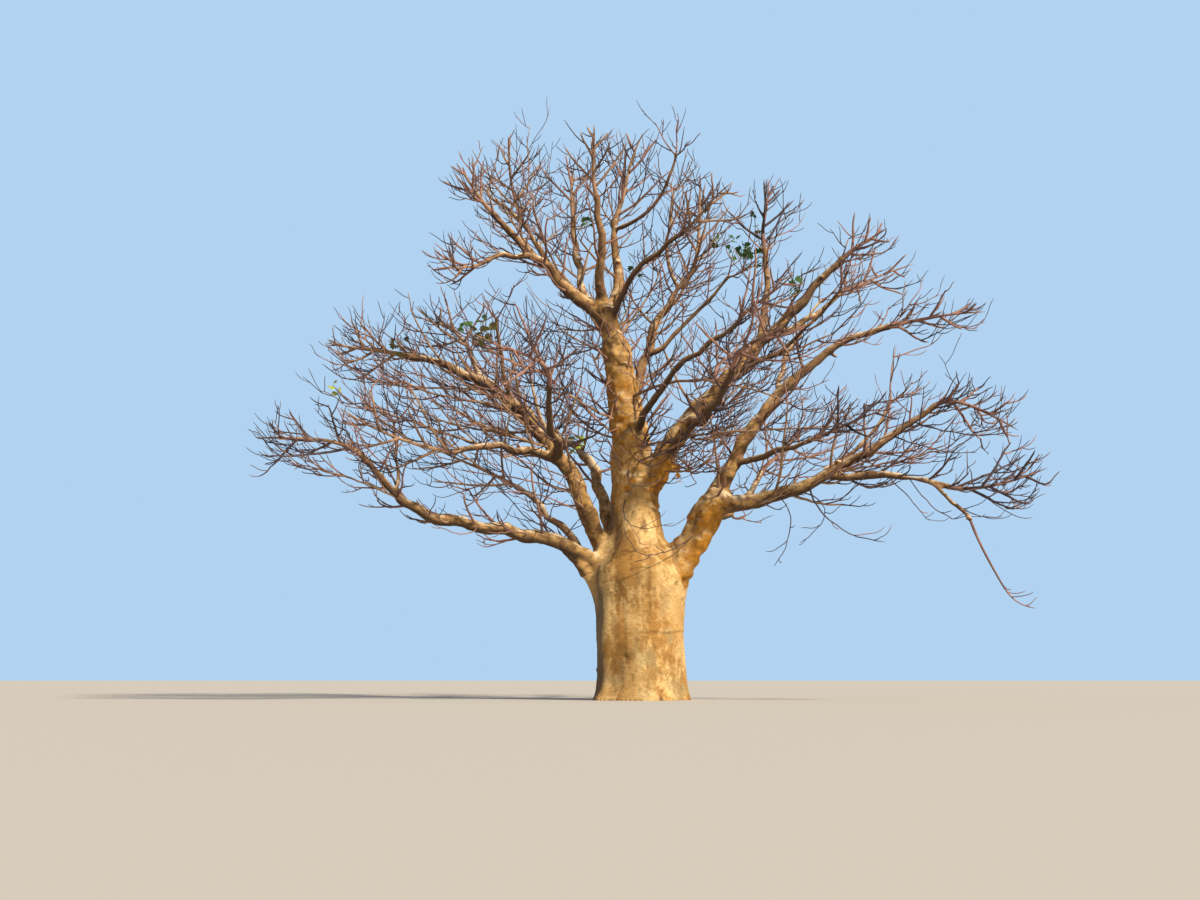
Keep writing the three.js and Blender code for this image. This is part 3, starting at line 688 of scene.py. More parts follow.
def bark_relief(points, girth, fork, with_bole, seed):
    """The move along the normal of each point, and how hollow it is from 0 to 1. Each term is a height in
    metres times a noise of one size, which is a number or the sizes across, in depth and up."""
    bole = smooth_step(girth, 0.42, 0.8)
    folds = 0.03 * bumps(points, (0.42, 0.42, 2.3), 3) + 0.014 * bumps(points, (0.17, 0.17, 0.9), 4)
    folds_and_dents = folds + 0.028 * bumps(points, 0.75, 5) + 0.011 * bumps(points, 0.3, 6)
    wrinkles = 0.005 * bumps(points, (0.8, 0.8, 0.085), 7) * smooth_step(fork, 0.1, 0.6)
    lumps = girth * (0.12 * bumps(points, 0.36, 8) + 0.11 * bumps(points, 0.15, 9))
    lumps = np.clip(lumps, -0.035, 0.04)
    grit = 0.0035 * bumps(points, 0.07, 10) * smooth_step(girth, 0.06, 0.3)
    relief = bole * folds_and_dents + (1 - bole) * lumps + wrinkles + grit
    hollow_folds = np.clip(-folds_and_dents / 0.045, 0, 1) * bole
    hollow = hollow_folds + np.clip(-lumps / 0.02, 0, 1) * (1 - bole) * 0.6
    if with_bole:
        belt, groove = crease_relief(points)
        pits = spots_relief(points, PIT_COUNT, PIT_SIZES, PIT_HEIGHTS, seed)
        buttons = spots_relief(points, BUTTON_COUNT, BUTTON_SIZES, BUTTON_HEIGHTS, seed + 1)
        relief = relief + belt * bole + pits + buttons
        hollow = np.maximum(hollow, np.maximum(groove * bole, np.clip(-pits / 0.018, 0, 1)))
    return relief, np.clip(hollow, 0, 1)


# %% Skin of one group
FORK_ROUNDS = {"trunk_bark": 130}
USUAL_FORK_ROUNDS, OTHER_ROUNDS = 60, 4
FORK_STRENGTH, OTHER_STRENGTH = 0.6, 0.25
FORK_REACH, FORK_REACH_OF_GIRTH = 0.05, 0.35
GROUND_FADE = (0.02, 0.12)


def bark_skin(name, group, voxel, seed):
    """Tubes and stubs fused to one skin, smoothed most at the forks, and moved by the bark's relief.
    A few first rounds smooth all of it. A fork is where the second nearest limb is near, as a bell."""
    with_bole = "trunk" in group
    mesh = fused(name, join_parts(tubes_of_group(group) + stub_tubes(group, seed)), voxel)
    points = values_of(mesh.vertices, "co", 3, np.float32).astype(float)
    first, second = values_of(mesh.edges, "vertices", 2, np.int32).T
    count = np.bincount(first, minlength=len(points)) + np.bincount(second, minlength=len(points))
    near = [limb for limb, parent, *_ in ALL_BOUGHS if limb in group or parent in group]
    surface, girths = distances_to(points, near + ["trunk"] * with_bole)
    order = np.argsort(surface, axis=1)
    row = np.arange(len(points))
    girth = girths[row, order[:, 0]]
    fork = bell(np.maximum(surface[row, order[:, 1]], 0), FORK_REACH + FORK_REACH_OF_GIRTH * girth)
    for round_number in range(FORK_ROUNDS.get(name, USUAL_FORK_ROUNDS)):
        strength = blend(OTHER_STRENGTH if round_number < OTHER_ROUNDS else 0, FORK_STRENGTH, fork)
        points = points + (neighbour_mean(points, first, second, count) - points) * strength[:, None]
    mesh.vertices.foreach_set("co", points.astype(np.float32).ravel())
    mesh.update()
    normals = values_of(mesh.vertices, "normal", 3, np.float32).astype(float)
    relief, hollow = bark_relief(points, girth, fork, with_bole, seed)
    points = points + normals * (relief * smooth_step(points[:, 2], *GROUND_FADE))[:, None]
    if with_bole:
        points[:, 2] = np.where(points[:, 2] < voxel, 0, points[:, 2])
    mesh.vertices.foreach_set("co", points.astype(np.float32).ravel())
    for what, values in (("girth", girth), ("hollow", hollow)):
        attribute = mesh.attributes.new(what, "FLOAT", "POINT")
        attribute.data.foreach_set("value", np.ascontiguousarray(values, np.float32))
    mesh.update()
    mesh.shade_smooth()
    return mesh


# %% Make the four skins
bark_objects = []
for number, (name, (group, side_limbs, voxel)) in enumerate(BARK_PIECES.items()):
    bark = tree_piece(name, bark_skin(name, group + side_limbs, voxel, 100 + 10 * number))
    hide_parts(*group)
    bark_objects.append(bark)

# %% [markdown]
# ## The masses of twigs
# Past its tip each bough turns into a stem with branches, twigs and sprigs. The source grows the first two
# orders as solids inside a spheroid round each stem. The same rule is written again here for whole
# generations at once, and carried on to finer ones that bend up at their ends. A geometry-nodes tree
# could do this too, but arrays keep the rule the same as the source's.

# %% Sizes of the masses
# Bough, reach, half-width, lift, and the share of its twigs that is left out, where the crown is open.
MASSES = [
    ("left_low_rise", (-8.49, -2.3, 5.74), 1.1, 0.15, 0),
    ("left_main_bough", (-7.28, -0.85, 8.21), 1.15, 0.35, 0),
    ("left_mid_bough", (-6.48, -3.4, 6.21), 1.35, 0.3, 0),
    ("left_rising_bough", (-5.13, 2.1, 9.68), 1.3, 0.35, 0.2),
    ("left_back_low_bough", (-5.6, 4.3, 6.7), 1.6, 0.35, 0.3),
    ("left_back_bough", (-3.5, 6.2, 8.7), 1.7, 0.35, 0.3),
    ("top_left_bough", (-4.29, -1.3, 12.42), 0.95, 0.4, 0),
    ("top_left_side_bough", (-4.52, -2.7, 9.5), 0.8, 0.4, 0.1),
    ("top_back_left_bough", (-3.12, 0.4, 13.79), 1.0, 0.4, 0),
    ("top_back_bough", (-1.6, 2.9, 13.9), 1.4, 0.4, 0.2),
    ("top_centre_bough", (-1.06, -1.4, 13.33), 1.05, 0.4, 0.4),
    ("top_right_bough", (0.15, 0.8, 13.94), 1.2, 0.4, 0.5),
    ("top_front_bough", (2.05, -2.8, 11.45), 1.05, 0.4, 0.4),
    ("inner_right_bough", (1.75, 1.5, 12.9), 1.35, 0.4, 0.5),
    ("mid_right_bough", (3.2, -4.1, 9.0), 1.35, 0.4, 0.75),
    ("right_main_bough", (5.69, -1.6, 10.75), 0.85, 0.35, 0.7),
    ("right_upright_bough", (3.17, 0.1, 12.53), 1.1, 0.4, 0.65),
    ("right_side_bough", (7.06, 2.0, 10.91), 0.95, 0.35, 0.6),
    ("right_arm_bough", (8.29, -2.4, 5.9), 0.9, 0.35, 0),
    ("right_far_low_bough", (8.68, -3.1, 4.96), 1.25, 0.25, 0.3),
    ("right_droop_bough", (8.25, -3.3, 1.95), 0.45, -0.15, 0),
    ("right_mid_bough", (7.93, -1.4, 8.82), 0.85, 0.35, 0.45),
    ("right_mid_side_bough", (5.3, -3.9, 6.15), 0.95, 0.35, 0.65),
    ("front_left_bough", (-2.8, -6.2, 6.95), 1.5, 0.35, 0.2),
    ("front_right_bough", (2.7, -6.3, 7.3), 1.5, 0.35, 0.65),
    ("back_centre_bough", (-0.9, 6.0, 10.6), 1.8, 0.35, 0),
    ("back_right_bough", (2.9, 6.2, 9.7), 1.7, 0.35, 0.35),
    ("back_right_low_bough", (5.3, 5.1, 7.0), 1.7, 0.35, 0.35),
]
mass_names = [bough.rsplit("_", 1)[0] + "_twigs" for bough, *_ in MASSES]
mass_boughs, reaches, widths, lifts, open_shares = (np.array(column) for column in zip(*MASSES))
# The drooping stem is slimmer than its bough, and turns level at its end.
DROOP = mass_names.index("right_droop_twigs")
DROOP_BEND, DROOP_SLIM = (7.51, -3.25, 2.08), 0.75

# %% Stems
STEM_THICK_SHARE, STEM_SUNK, STEM_BEND, STEM_SWAY, STEM_STATIONS = 0.97, 0.025, 0.3, 0.05, 17
feet = np.array([limbs[bough]["line"](1) for bough in mass_boughs])
aheads = unit(feet - np.array([limbs[bough]["line"](0.98) for bough in mass_boughs]))
space_middle = (feet + reaches) / 2
space_axis = unit(reaches - feet)
space_half = np.linalg.norm(reaches - feet, axis=1) / 2


def stem_generation():
    """Each stem is a quadratic curve from its foot, bent ahead along its bough, with a sway that grows."""
    numbers = np.arange(len(MASSES)) + 1
    foot = feet - aheads * STEM_SUNK
    length = np.linalg.norm(reaches - foot, axis=1)
    bend = foot + aheads * (STEM_BEND * length)[:, None]
    bend[DROOP] = DROOP_BEND
    sign = np.where(seeded(numbers, FOR_WAVE) < 0.5, 1, -1)
    sway = across_from(aheads) * (STEM_SWAY * length * sign)[:, None]
    s = np.linspace(0, 1, STEM_STATIONS)[None, :, None]
    points = quadratic(foot[:, None], bend[:, None], reaches[:, None], s)
    points = points + sway[:, None] * s * np.sin(2 * math.pi * s)
    thick = np.array([limbs[bough]["thin"] for bough in mass_boughs]) * STEM_THICK_SHARE
    thick[DROOP] *= DROOP_SLIM
    return {"points": points, "length": length, "number": numbers, "space": numbers - 1, "thick": thick}


# %% Spaces that twigs keep to
SPACE_MARGIN = 0.035


def measured(offset, space):
    """An offset in the measure of its spheroid, in which the spheroid is a ball of radius 1."""
    axis = space_axis[space]
    along = np.sum(offset * axis, axis=-1, keepdims=True)
    across = offset - along * axis
    return across / widths[space][..., None] + axis * along / space_half[space][..., None]


def level_in(points, space):
    """How far out each point is in its spheroid: 0 in the middle and 1 at the surface."""
    return np.linalg.norm(measured(points - space_middle[space], space), axis=-1)


def in_own_space(points, space):
    """Whether each line's level is below 1 in its own spheroid and lower than in any other."""
    flat = points.reshape(-1, 3)
    own_number = np.repeat(space, points.shape[1])
    own = level_in(flat, own_number)
    free = own < 1
    for other in range(len(MASSES)):
        level = level_in(flat, np.full(len(flat), other))
        free &= (own + SPACE_MARGIN < level) | (own_number == other)
    return free.reshape(points.shape[:2]).all(axis=1)


# %% Room over the limbs, and room ahead
all_limbs = list(limbs)


def room_over_limbs(points):
    """The distance from each point of some lines to the nearest limb's bark."""
    surface, _ = distances_to(points.reshape(-1, 3), all_limbs)
    return surface.min(axis=1).reshape(points.shape[:2])


def room_ahead(start, direction, space):
    """How far a straight line runs before it leaves its spheroid, by the quadratic formula."""
    begin = measured(start - space_middle[space], space)
    step = measured(direction, space)
    a = np.sum(step * step, axis=-1)
    b = np.sum(begin * step, axis=-1)
    c = np.sum(begin * begin, axis=-1) - 1
    return np.where(c > 0, 0, (-b + np.sqrt(np.maximum(b * b - a * c, 0))) / a)


# %% Where a twig sets off, and which way
CROWN_MIDDLE = np.array([-0.3, 0.0, 5.6])
SIDE_REACH, TOP_REACH = 0.28, 0.04
reach_low = np.array(cad_box[0]) - SIDE_REACH
reach_high = np.array(cad_box[1]) + (SIDE_REACH, SIDE_REACH, TOP_REACH)


def within_reach(points):
    """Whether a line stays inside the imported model's box, with a little to spare."""
    return ((points > reach_low) & (points < reach_high)).all(axis=(1, 2))


def on_lines(points, share):
    """Points of sampled lines at a share each, and the tangents there."""
    place = np.clip(share, 0, 1) * (points.shape[1] - 1)
    low = np.minimum(np.floor(place).astype(int), points.shape[1] - 2)
    row = np.arange(len(points))
    before, after = points[row, low], points[row, low + 1]
    return before + (after - before) * (place - low)[:, None], unit(after - before)


def leaning(tangent, lean, turn):
    """The direction that leans off a tangent by an angle, at a turn round it."""
    across = across_from(tangent)
    other = np.cross(tangent, across)
    lean, turn = lean[:, None], turn[:, None]
    return tangent * np.cos(lean) + (across * np.cos(turn) + other * np.sin(turn)) * np.sin(lean)


def setting_off(start, tangent, lean, turn, outward, flat):
    """Leaning off the tangent and drawn away from the crown's middle, less a share of its upright part."""
    direction = unit(leaning(tangent, lean, turn) + outward * unit(start - CROWN_MIDDLE))
    return unit(direction * np.array([1.0, 1.0, 1.0 - flat]))


# %% Lines of twigs
KINK, KINK_FADE = 0.014, 3


def twig_lines(start, direction, length, lift, sway, stations, number):
    """Set off along the direction, bent up by the lift with the square of the share, and swayed by a sine.
    At each station the twig has a small kink, a seeded step aside that fades towards its root."""
    side = leaning(direction, np.full(len(start), math.pi / 2), 2 * math.pi * seeded(number, FOR_WAVE))
    sway = side * sway
    s = np.linspace(0, 1, stations)[None, :, None]
    reach = length[:, None, None]
    seeds = number[:, None] * 7 + np.arange(stations)[None]
    kink, kink_aside = (KINK * (seeded(seeds, use) - 0.5)[..., None] for use in (FOR_WAVE, FOR_LEAN))
    size = np.maximum(np.linalg.norm(sway, axis=1), 1e-6)[:, None, None]
    kinks = (sway[:, None] * kink + np.cross(direction, sway)[:, None] * kink_aside) / size
    return (
        start[:, None] + direction[:, None] * reach * s
        + UP * (0.5 * lift * length)[:, None, None] * s * s
        + sway[:, None] * reach * np.sin(2 * math.pi * s) * s
        + kinks * reach * np.minimum(KINK_FADE * s, 1)
    )


# %% One generation of twigs from another
FAMILY, CHANCE_IN_PLACE, TRIES, SLIMMING = 16, 0.3, (1.0, 0.75, 0.5), 0.45
LEAST_LIFT, CHANCE_IN_LIFT = 0.7, 0.6


def part_of(generation, keep):
    """Only the lines of a generation that are kept."""
    return {key: values[keep] for key, values in generation.items()}


def joined(generations):
    """Several generations as one."""
    return {key: np.concatenate([some[key] for some in generations]) for key in generations[0]}


def next_generation(parents, order, length_of):
    """Twigs spaced along their parents and turned by the golden angle, each as long as fits its space."""
    kept = []
    space = parents["space"]
    for i in range(order["count"]):
        number = parents["number"] * FAMILY + i + 1
        place = (i + CHANCE_IN_PLACE * seeded(number, FOR_PLACE)) / (order["count"] - 1 + CHANCE_IN_PLACE)
        share = blend(order["from"], order["to"], place)
        start, tangent = on_lines(parents["points"], share)
        lean = order["lean"] * (1 + order["chance"] * (seeded(number, FOR_LEAN) - 0.5))
        turn = GOLDEN_ANGLE * i + 2 * math.pi * seeded(parents["number"], FOR_TURN)
        direction = setting_off(start, tangent, lean, turn, order["outward"], order["flat"])
        length = length_of(parents, start, direction, number)
        lift = lifts[space] * order["own_lift"] + order["lift"]
        lift = lift * (LEAST_LIFT + CHANCE_IN_LIFT * seeded(number, FOR_LIFT))
        waiting = np.full(len(number), True)
        points = np.zeros((len(number), order["stations"], 3))
        final = np.zeros(len(number))
        for part in TRIES:
            shorter = length * part
            tried = twig_lines(start, direction, shorter, lift, order["sway"], order["stations"], number)
            fits = waiting & (shorter > order["least"])
            fits[fits] = order["fits"](tried[fits], space[fits], number[fits])
            fits &= within_reach(tried)
            points[fits] = tried[fits]
            final[fits] = shorter[fits]
            waiting &= ~fits
        thick = np.minimum(order["thick"], parents["thick"] * (1 - SLIMMING * share))
        grown = {"points": points, "length": final, "number": number, "space": space, "thick": thick}
        kept.append(part_of(grown, ~waiting))
    return joined(kept)


# %% Where a twig fits, and how long it is
FILL, CHANCE_IN_LENGTH, LIMB_ROOM, TWIG_ROOM = 0.95, 0.15, 0.06, 0.02


def fits_space(points, space, number):
    """A line that stays in its own space and clear of the limbs, tried at every other station."""
    some = points[:, ::2]
    good = in_own_space(some, space)
    good[good] = (room_over_limbs(some[good]) > LIMB_ROOM).all(axis=1)
    return good


def fits_anywhere(points, space, number):
    """A line that stays clear of the limbs."""
    return (room_over_limbs(points[:, ::2]) > TWIG_ROOM).all(axis=1)


def fits_near(points, space, number):
    """A line that stays clear of the limbs and ends in its own spheroid, or by chance a little outside."""
    good = level_in(points[:, -1], space) < 1 + 0.5 * seeded(number, FOR_SWAY) ** 2
    good[good] = fits_anywhere(points[good], space, number)
    return good


def room_length(parents, start, direction, number):
    """Most of the room ahead, less a part by chance."""
    room = room_ahead(start, direction, parents["space"])
    return room * (FILL - CHANCE_IN_LENGTH * seeded(number, FOR_LENGTH))


def free_length(share, most=9.0):
    """A length that is a share of the parent's, more or less by chance, up to the most."""
    def length_of(parents, start, direction, number):
        length = share * parents["length"] * (0.55 + 1.05 * seeded(number, FOR_LENGTH) ** 2)
        return np.minimum(length, most)

    return length_of


# %% Grow the masses
# How many stand on each parent and between which shares of it, the most thickness, the lean and its
# chance, the pull outwards, the upright share taken off, how much of the mass's lift and of their own
# they have, the sway, the stations, and the least length that is kept.
BRANCH = {
    "count": 8, "from": 0.1, "to": 0.86, "thick": 0.036, "lean": 0.85, "chance": 0.3, "outward": 0,
    "flat": 0, "own_lift": 1.0, "lift": 0, "sway": 0.03, "stations": 11, "least": 0.15, "fits": fits_space,
}
TWIG = {
    "count": 5, "from": 0.15, "to": 0.98, "thick": 0.0175, "lean": 0.95, "chance": 0.7, "outward": 0.25,
    "flat": 0.5, "own_lift": 0.3, "lift": 0.7, "sway": 0.07, "stations": 10, "least": 0.3, "fits": fits_near,
}
SPRIG = {
    "count": 3, "from": 0.2, "to": 0.85, "thick": 0.0125, "lean": 0.8, "chance": 0.7, "outward": 0.2,
    "flat": 0.3, "own_lift": 0.3, "lift": 0.75, "sway": 0.07, "stations": 8, "least": 0.22,
    "fits": fits_near,
}
DROOP_SPRIG = {**SPRIG, "count": 5, "from": 0.5, "to": 0.9, "flat": 0.6, "fits": fits_anywhere}


def tell(**generations):
    """Prints how many lines each generation has, and their length in all."""
    for name, some in generations.items():
        print(name, len(some["number"]), "of", round(float(some["length"].sum()), 1), "m")


stems = stem_generation()
branches = next_generation(stems, BRANCH, room_length)
branches = part_of(branches, branches["space"] != DROOP)
twigs = next_generation(branches, TWIG, free_length(0.9))
twigs = part_of(twigs, seeded(twigs["number"], FOR_TINT) >= open_shares[twigs["space"]])
sprigs = joined([
    next_generation(twigs, SPRIG, free_length(0.55)),
    next_generation(part_of(stems, stems["space"] == DROOP), DROOP_SPRIG, free_length(0.24)),
])
tell(stems=stems, branches=branches, twigs=twigs, sprigs=sprigs)

# %% [markdown]
# ## Shoots along the boughs
# Between the forks a bough carries shoots of its own, which fill the crown's inside and curve up to the
# light. They follow the same rule, but they set off from the boughs and have no spheroid: their length
# follows the bough's, and they are only kept off the limbs.

# %% Where shoots stand
SHOOTS_ON_A_METRE = 2.1
# Limb: its shoots as a share of the usual number.
SHOOT_SHARES = {
    "trunk": 2.6, "left_low_bough": 1.5, "left_low_rise": 2.0, "left_main_bough": 1.9, "left_mid_bough": 1.8,
    "left_rising_bough": 1.3, "left_upright": 0.4, "left_inner": 0.6, "top_left_side_bough": 0.8,
    "top_side_limb": 0.5, "inner_left_limb": 0.5, "inner_low_limb": 0.5, "mid_right_bough": 0.4,
    "right_main_bough": 0.15, "right_upright_bough": 0.35, "right_side_bough": 0.35, "right_inner_limb": 0.3,
    "right_cross_limb": 0.3, "right_mid_bough": 0.6, "right_arm_bough": 1.8, "right_mid_side_bough": 0.6,
    "right_arm_side": 0.4, "top_left_bough": 1.8, "right_droop_bough": 0, "inner_right_bough": 1.5,
    "top_front_bough": 1.3,
}
# Limb: the length in metres from its root at which its shoots begin.
SHOOTS_BEGIN = {
    "trunk": 4.4, "right_low_bough": 2.6, "right_main_bough": 1.2, "right_mid_bough": 0.6,
    "right_arm_bough": 0.6, "left_main_bough": 1.3, "left_low_bough": 1.5,
}
SHOOT_NUMBER, SHOOT_END, SHOOT_LEAN = 1000, 0.97, 1.1
KNOB_SHOOTS, KNOB_SHARE, KNOB_SCALE, KNOB_LEAN = 3, 0.985, 0.8, 0.75


def shoot_starts():
    """Rows of number, order on the limb, limb, length scale, lean, girth, point and tangent, for the shoots
    spaced along each limb and for the few that spread from the knob at its tip."""
    rows = []
    for index, (name, limb) in enumerate(limbs.items()):
        begin = SHOOTS_BEGIN.get(name, TAKEOVER.get(name, 0.3)) / limb["length"] + 0.04
        shoot_share = SHOOT_SHARES.get(name, 1)
        count = int((1 - begin) * limb["length"] * SHOOTS_ON_A_METRE * shoot_share)
        for i in range(count + KNOB_SHOOTS * (shoot_share > 0)):
            number = SHOOT_NUMBER + index * FAMILY * 4 + i
            if i < count:
                share = blend(begin, SHOOT_END, (i + 0.8 * seeded(number, FOR_PLACE)) / count)
                scale = min(0.65 + 0.22 * limb["length"], 1.7) * (1.15 - 0.6 * share)
                lean = SHOOT_LEAN
            else:
                share, scale, lean = KNOB_SHARE, KNOB_SCALE, KNOB_LEAN
            tangent = unit(limb["line"](share + 0.01) - limb["line"](share - 0.01))
            girth = float(limb["radius"](share))
            rows.append((number, i, index, scale, lean, girth, *limb["line"](share), *tangent))
    return np.array(rows)


# %% Lines of shoots
SHOOT_STATIONS, SHOOT_OUTWARD, SHOOT_FLAT, SHOOT_SWAY = 12, 0.2, 0.5, 0.05
LOWEST_SHOOT, SHOOT_ROOM = 2.9, 0.03


def shoot_generation():
    """Shoots set off by the golden angle round their limb. Those that rise are longer than those below."""
    rows = shoot_starts()
    number, i, index, scale, lean, girth = rows[:, :6].T
    start, tangent = rows[:, 6:9], rows[:, 9:12]
    lean = lean * (1 + 0.5 * (seeded(number, FOR_LEAN) - 0.5))
    turn = GOLDEN_ANGLE * i + 2 * math.pi * seeded(index, FOR_TURN)
    direction = setting_off(start, tangent, lean, turn, SHOOT_OUTWARD, SHOOT_FLAT)
    rising = 0.8 + 0.2 * direction[:, 2]
    length = scale * (0.6 + 0.8 * seeded(number, FOR_LENGTH)) * rising
    lift = 0.5 + 0.7 * seeded(number, FOR_LIFT)
    points = twig_lines(start, direction, length, lift, SHOOT_SWAY, SHOOT_STATIONS, number)
    outside = np.maximum(2, np.ceil((SHOOT_STATIONS - 1) * (girth + 0.12) / length).astype(int))
    clear = (room_over_limbs(points) > SHOOT_ROOM) | (np.arange(SHOOT_STATIONS)[None] <= outside[:, None])
    done = clear.all(axis=1) & (points[..., 2].min(axis=1) > LOWEST_SHOOT) & within_reach(points)
    space = np.zeros(len(number), int)
    thick = np.clip(0.35 * girth, 0.022, 0.038)
    grown = {"points": points, "length": length, "number": number, "space": space, "thick": thick}
    return part_of(grown, done)


# %% Grow the shoots
SHOOT_TWIG = {**TWIG, "count": 4, "fits": fits_anywhere}
SHOOT_SPRIG = {**SPRIG, "count": 2, "fits": fits_anywhere}
shoots = shoot_generation()
shoot_twigs = next_generation(shoots, SHOOT_TWIG, free_length(0.65))
shoot_sprigs = next_generation(shoot_twigs, SHOOT_SPRIG, free_length(0.55))
tell(shoots=shoots, their_twigs=shoot_twigs, their_sprigs=shoot_sprigs)

# %% [markdown]
# ## Whips and arms
# In front of the trunk and under the low boughs thin whips hang down and turn up again at their ends, as
# gravity and light pull them both ways. Longer arms cross the crown's inside and carry twigs. A rule would
# scatter them, so each one has a row of its own: a curve from its limb to a tip.

# %% Rows of whips and arms
# Limb, share along it, a point on the way down, the tip, and thickness.
WHIPS = [
    ("right_arm_bough", 0.27, (3.3, -1.9, 3.9), (2.9, -2.2, 2.8), 0.017),
    ("right_arm_bough", 0.34, (4.05, -2.0, 4.2), (3.45, -2.3, 3.3), 0.016),
    ("right_arm_bough", 0.42, (4.1, -2.4, 3.9), (5.15, -3.1, 3.25), 0.024),
    ("right_arm_bough", 0.2, (2.85, -1.5, 4.45), (2.3, -1.6, 4.38), 0.014),
    ("right_arm_bough", 0.55, (4.75, -2.1, 4.75), (5.3, -2.4, 4.55), 0.016),
    ("right_far_low_bough", 0.5, (5.95, -2.6, 4.2), (6.2, -2.7, 3.75), 0.013),
    ("right_far_low_bough", 0.68, (6.4, -2.8, 4.05), (7.0, -2.9, 3.85), 0.014),
    ("right_far_low_bough", 0.85, (6.9, -2.9, 4.1), (7.7, -3.1, 3.8), 0.016),
    ("right_arm_bough", 0.8, (6.3, -2.0, 5.6), (7.4, -2.2, 5.3), 0.018),
    ("right_arm_bough", 0.9, (6.8, -2.2, 5.9), (8.1, -2.5, 5.7), 0.02),
    ("right_low_bough", 0.99, (1.95, -0.95, 4.3), (2.3, -1.05, 4.3), 0.015),
    ("right_low_bough", 0.75, (0.55, -1.35, 3.3), (-0.2, -1.5, 3.25), 0.015),
    ("trunk", 0.545, (-0.3, -1.2, 4.0), (0.77, -1.35, 3.85), 0.016),
    ("trunk", 0.6, (-0.2, -1.3, 4.85), (0.55, -1.4, 4.85), 0.014),
    ("trunk", 0.52, (0.55, -0.6, 4.95), (0.78, -0.65, 4.95), 0.013),
    ("trunk", 0.72, (0.0, -1.0, 5.9), (0.7, -1.1, 5.75), 0.014),
    ("trunk", 0.66, (0.15, -0.95, 5.35), (0.65, -1.05, 5.5), 0.014),
    ("trunk", 0.78, (-0.5, -1.0, 6.6), (0.2, -1.2, 6.3), 0.014),
    ("trunk", 0.83, (-0.9, -0.9, 7.0), (-0.3, -1.2, 6.7), 0.014),
    ("trunk", 0.7, (-1.0, -0.9, 5.9), (-1.3, -1.0, 5.3), 0.014),
    ("trunk", 0.74, (0.5, -0.9, 6.5), (1.1, -1.0, 6.2), 0.013),
    ("left_low_bough", 0.55, (-2.9, -1.4, 3.75), (-3.5, -1.6, 3.6), 0.016),
    ("left_low_bough", 0.8, (-3.9, -1.5, 3.7), (-4.6, -1.7, 3.75), 0.018),
    ("left_main_bough", 0.28, (-2.9, -1.3, 5.0), (-3.9, -1.8, 4.95), 0.02),
    ("left_main_bough", 0.22, (-2.6, -0.9, 4.7), (-3.5, -1.3, 4.5), 0.018),
    ("left_main_bough", 0.33, (-2.7, -1.2, 5.4), (-3.3, -1.7, 5.5), 0.018),
    ("left_main_bough", 0.25, (-2.2, 0.5, 4.6), (-3.0, 0.9, 4.75), 0.018),
]
# Long slim arms that cross the crown's inside, in the same columns.
ARMS = [
    ("trunk", 0.76, (1.35, -1.6, 7.18), (3.27, -2.4, 6.39), 0.04),
    ("trunk", 0.62, (1.36, -1.2, 6.0), (4.55, -2.0, 5.95), 0.034),
    ("right_main_bough", 0.57, (3.11, -1.2, 7.87), (4.4, -1.8, 8.11), 0.036),
    ("right_arm_bough", 0.02, (1.72, -1.2, 5.64), (1.53, -1.5, 6.46), 0.036),
    ("right_main_bough", 0.3, (1.6, 0.6, 6.16), (2.8, 1.2, 6.55), 0.034),
    ("trunk", 0.7, (-1.38, -0.8, 6.82), (-2.18, -1.2, 7.38), 0.032),
    ("trunk", 0.66, (-1.28, 0.8, 6.58), (-1.91, 1.4, 7.66), 0.034),
    ("left_main_bough", 0.45, (-3.18, -1.6, 5.99), (-4.21, -2.2, 6.34), 0.034),
    ("left_main_bough", 0.62, (-4.24, -1.2, 6.84), (-5.43, -1.8, 7.03), 0.036),
    ("left_main_bough", 0.72, (-5.0, 0.4, 7.39), (-6.54, 0.7, 7.55), 0.032),
    ("left_main_bough", 0.52, (-4.07, 0.8, 6.48), (-5.47, 1.3, 7.01), 0.036),
    ("right_main_bough", 0.22, (1.16, -0.6, 5.26), (0.35, -0.8, 5.65), 0.026),
    ("trunk", 0.6, (0.56, -1.3, 5.62), (1.59, -1.8, 6.11), 0.03),
    ("right_main_bough", 0.15, (1.14, -1.0, 5.21), (1.8, -1.4, 5.61), 0.026),
    ("trunk", 0.92, (0.07, 1.0, 9.5), (0.7, 1.2, 10.7), 0.034),
    ("right_arm_bough", 0.5, (5.45, -1.7, 5.25), (6.4, -2.1, 5.35), 0.03),
    ("left_low_rise", 0.3, (-6.4, -2.2, 4.85), (-7.3, -2.6, 4.95), 0.026),
    ("top_left_bough", 0.45, (-3.0, -0.9, 11.2), (-2.6, -1.2, 11.6), 0.026),
    ("top_back_left_bough", 0.5, (-2.5, 0.2, 11.6), (-2.4, 0.4, 12.2), 0.026),
    ("inner_right_bough", 0.4, (0.84, 0.6, 9.7), (1.56, 0.4, 10.3), 0.03),
    ("left_mid_bough", 0.75, (-5.5, -2.2, 6.25), (-6.2, -2.4, 6.4), 0.028),
]

# %% Grow the whips and arms
WHIP_NUMBER, ARM_NUMBER = 4000, 5000
WHIP_STATIONS, WHIP_KINK, TURN_UP, TURN_UP_FROM = 15, 0.03, 0.12, 0.75


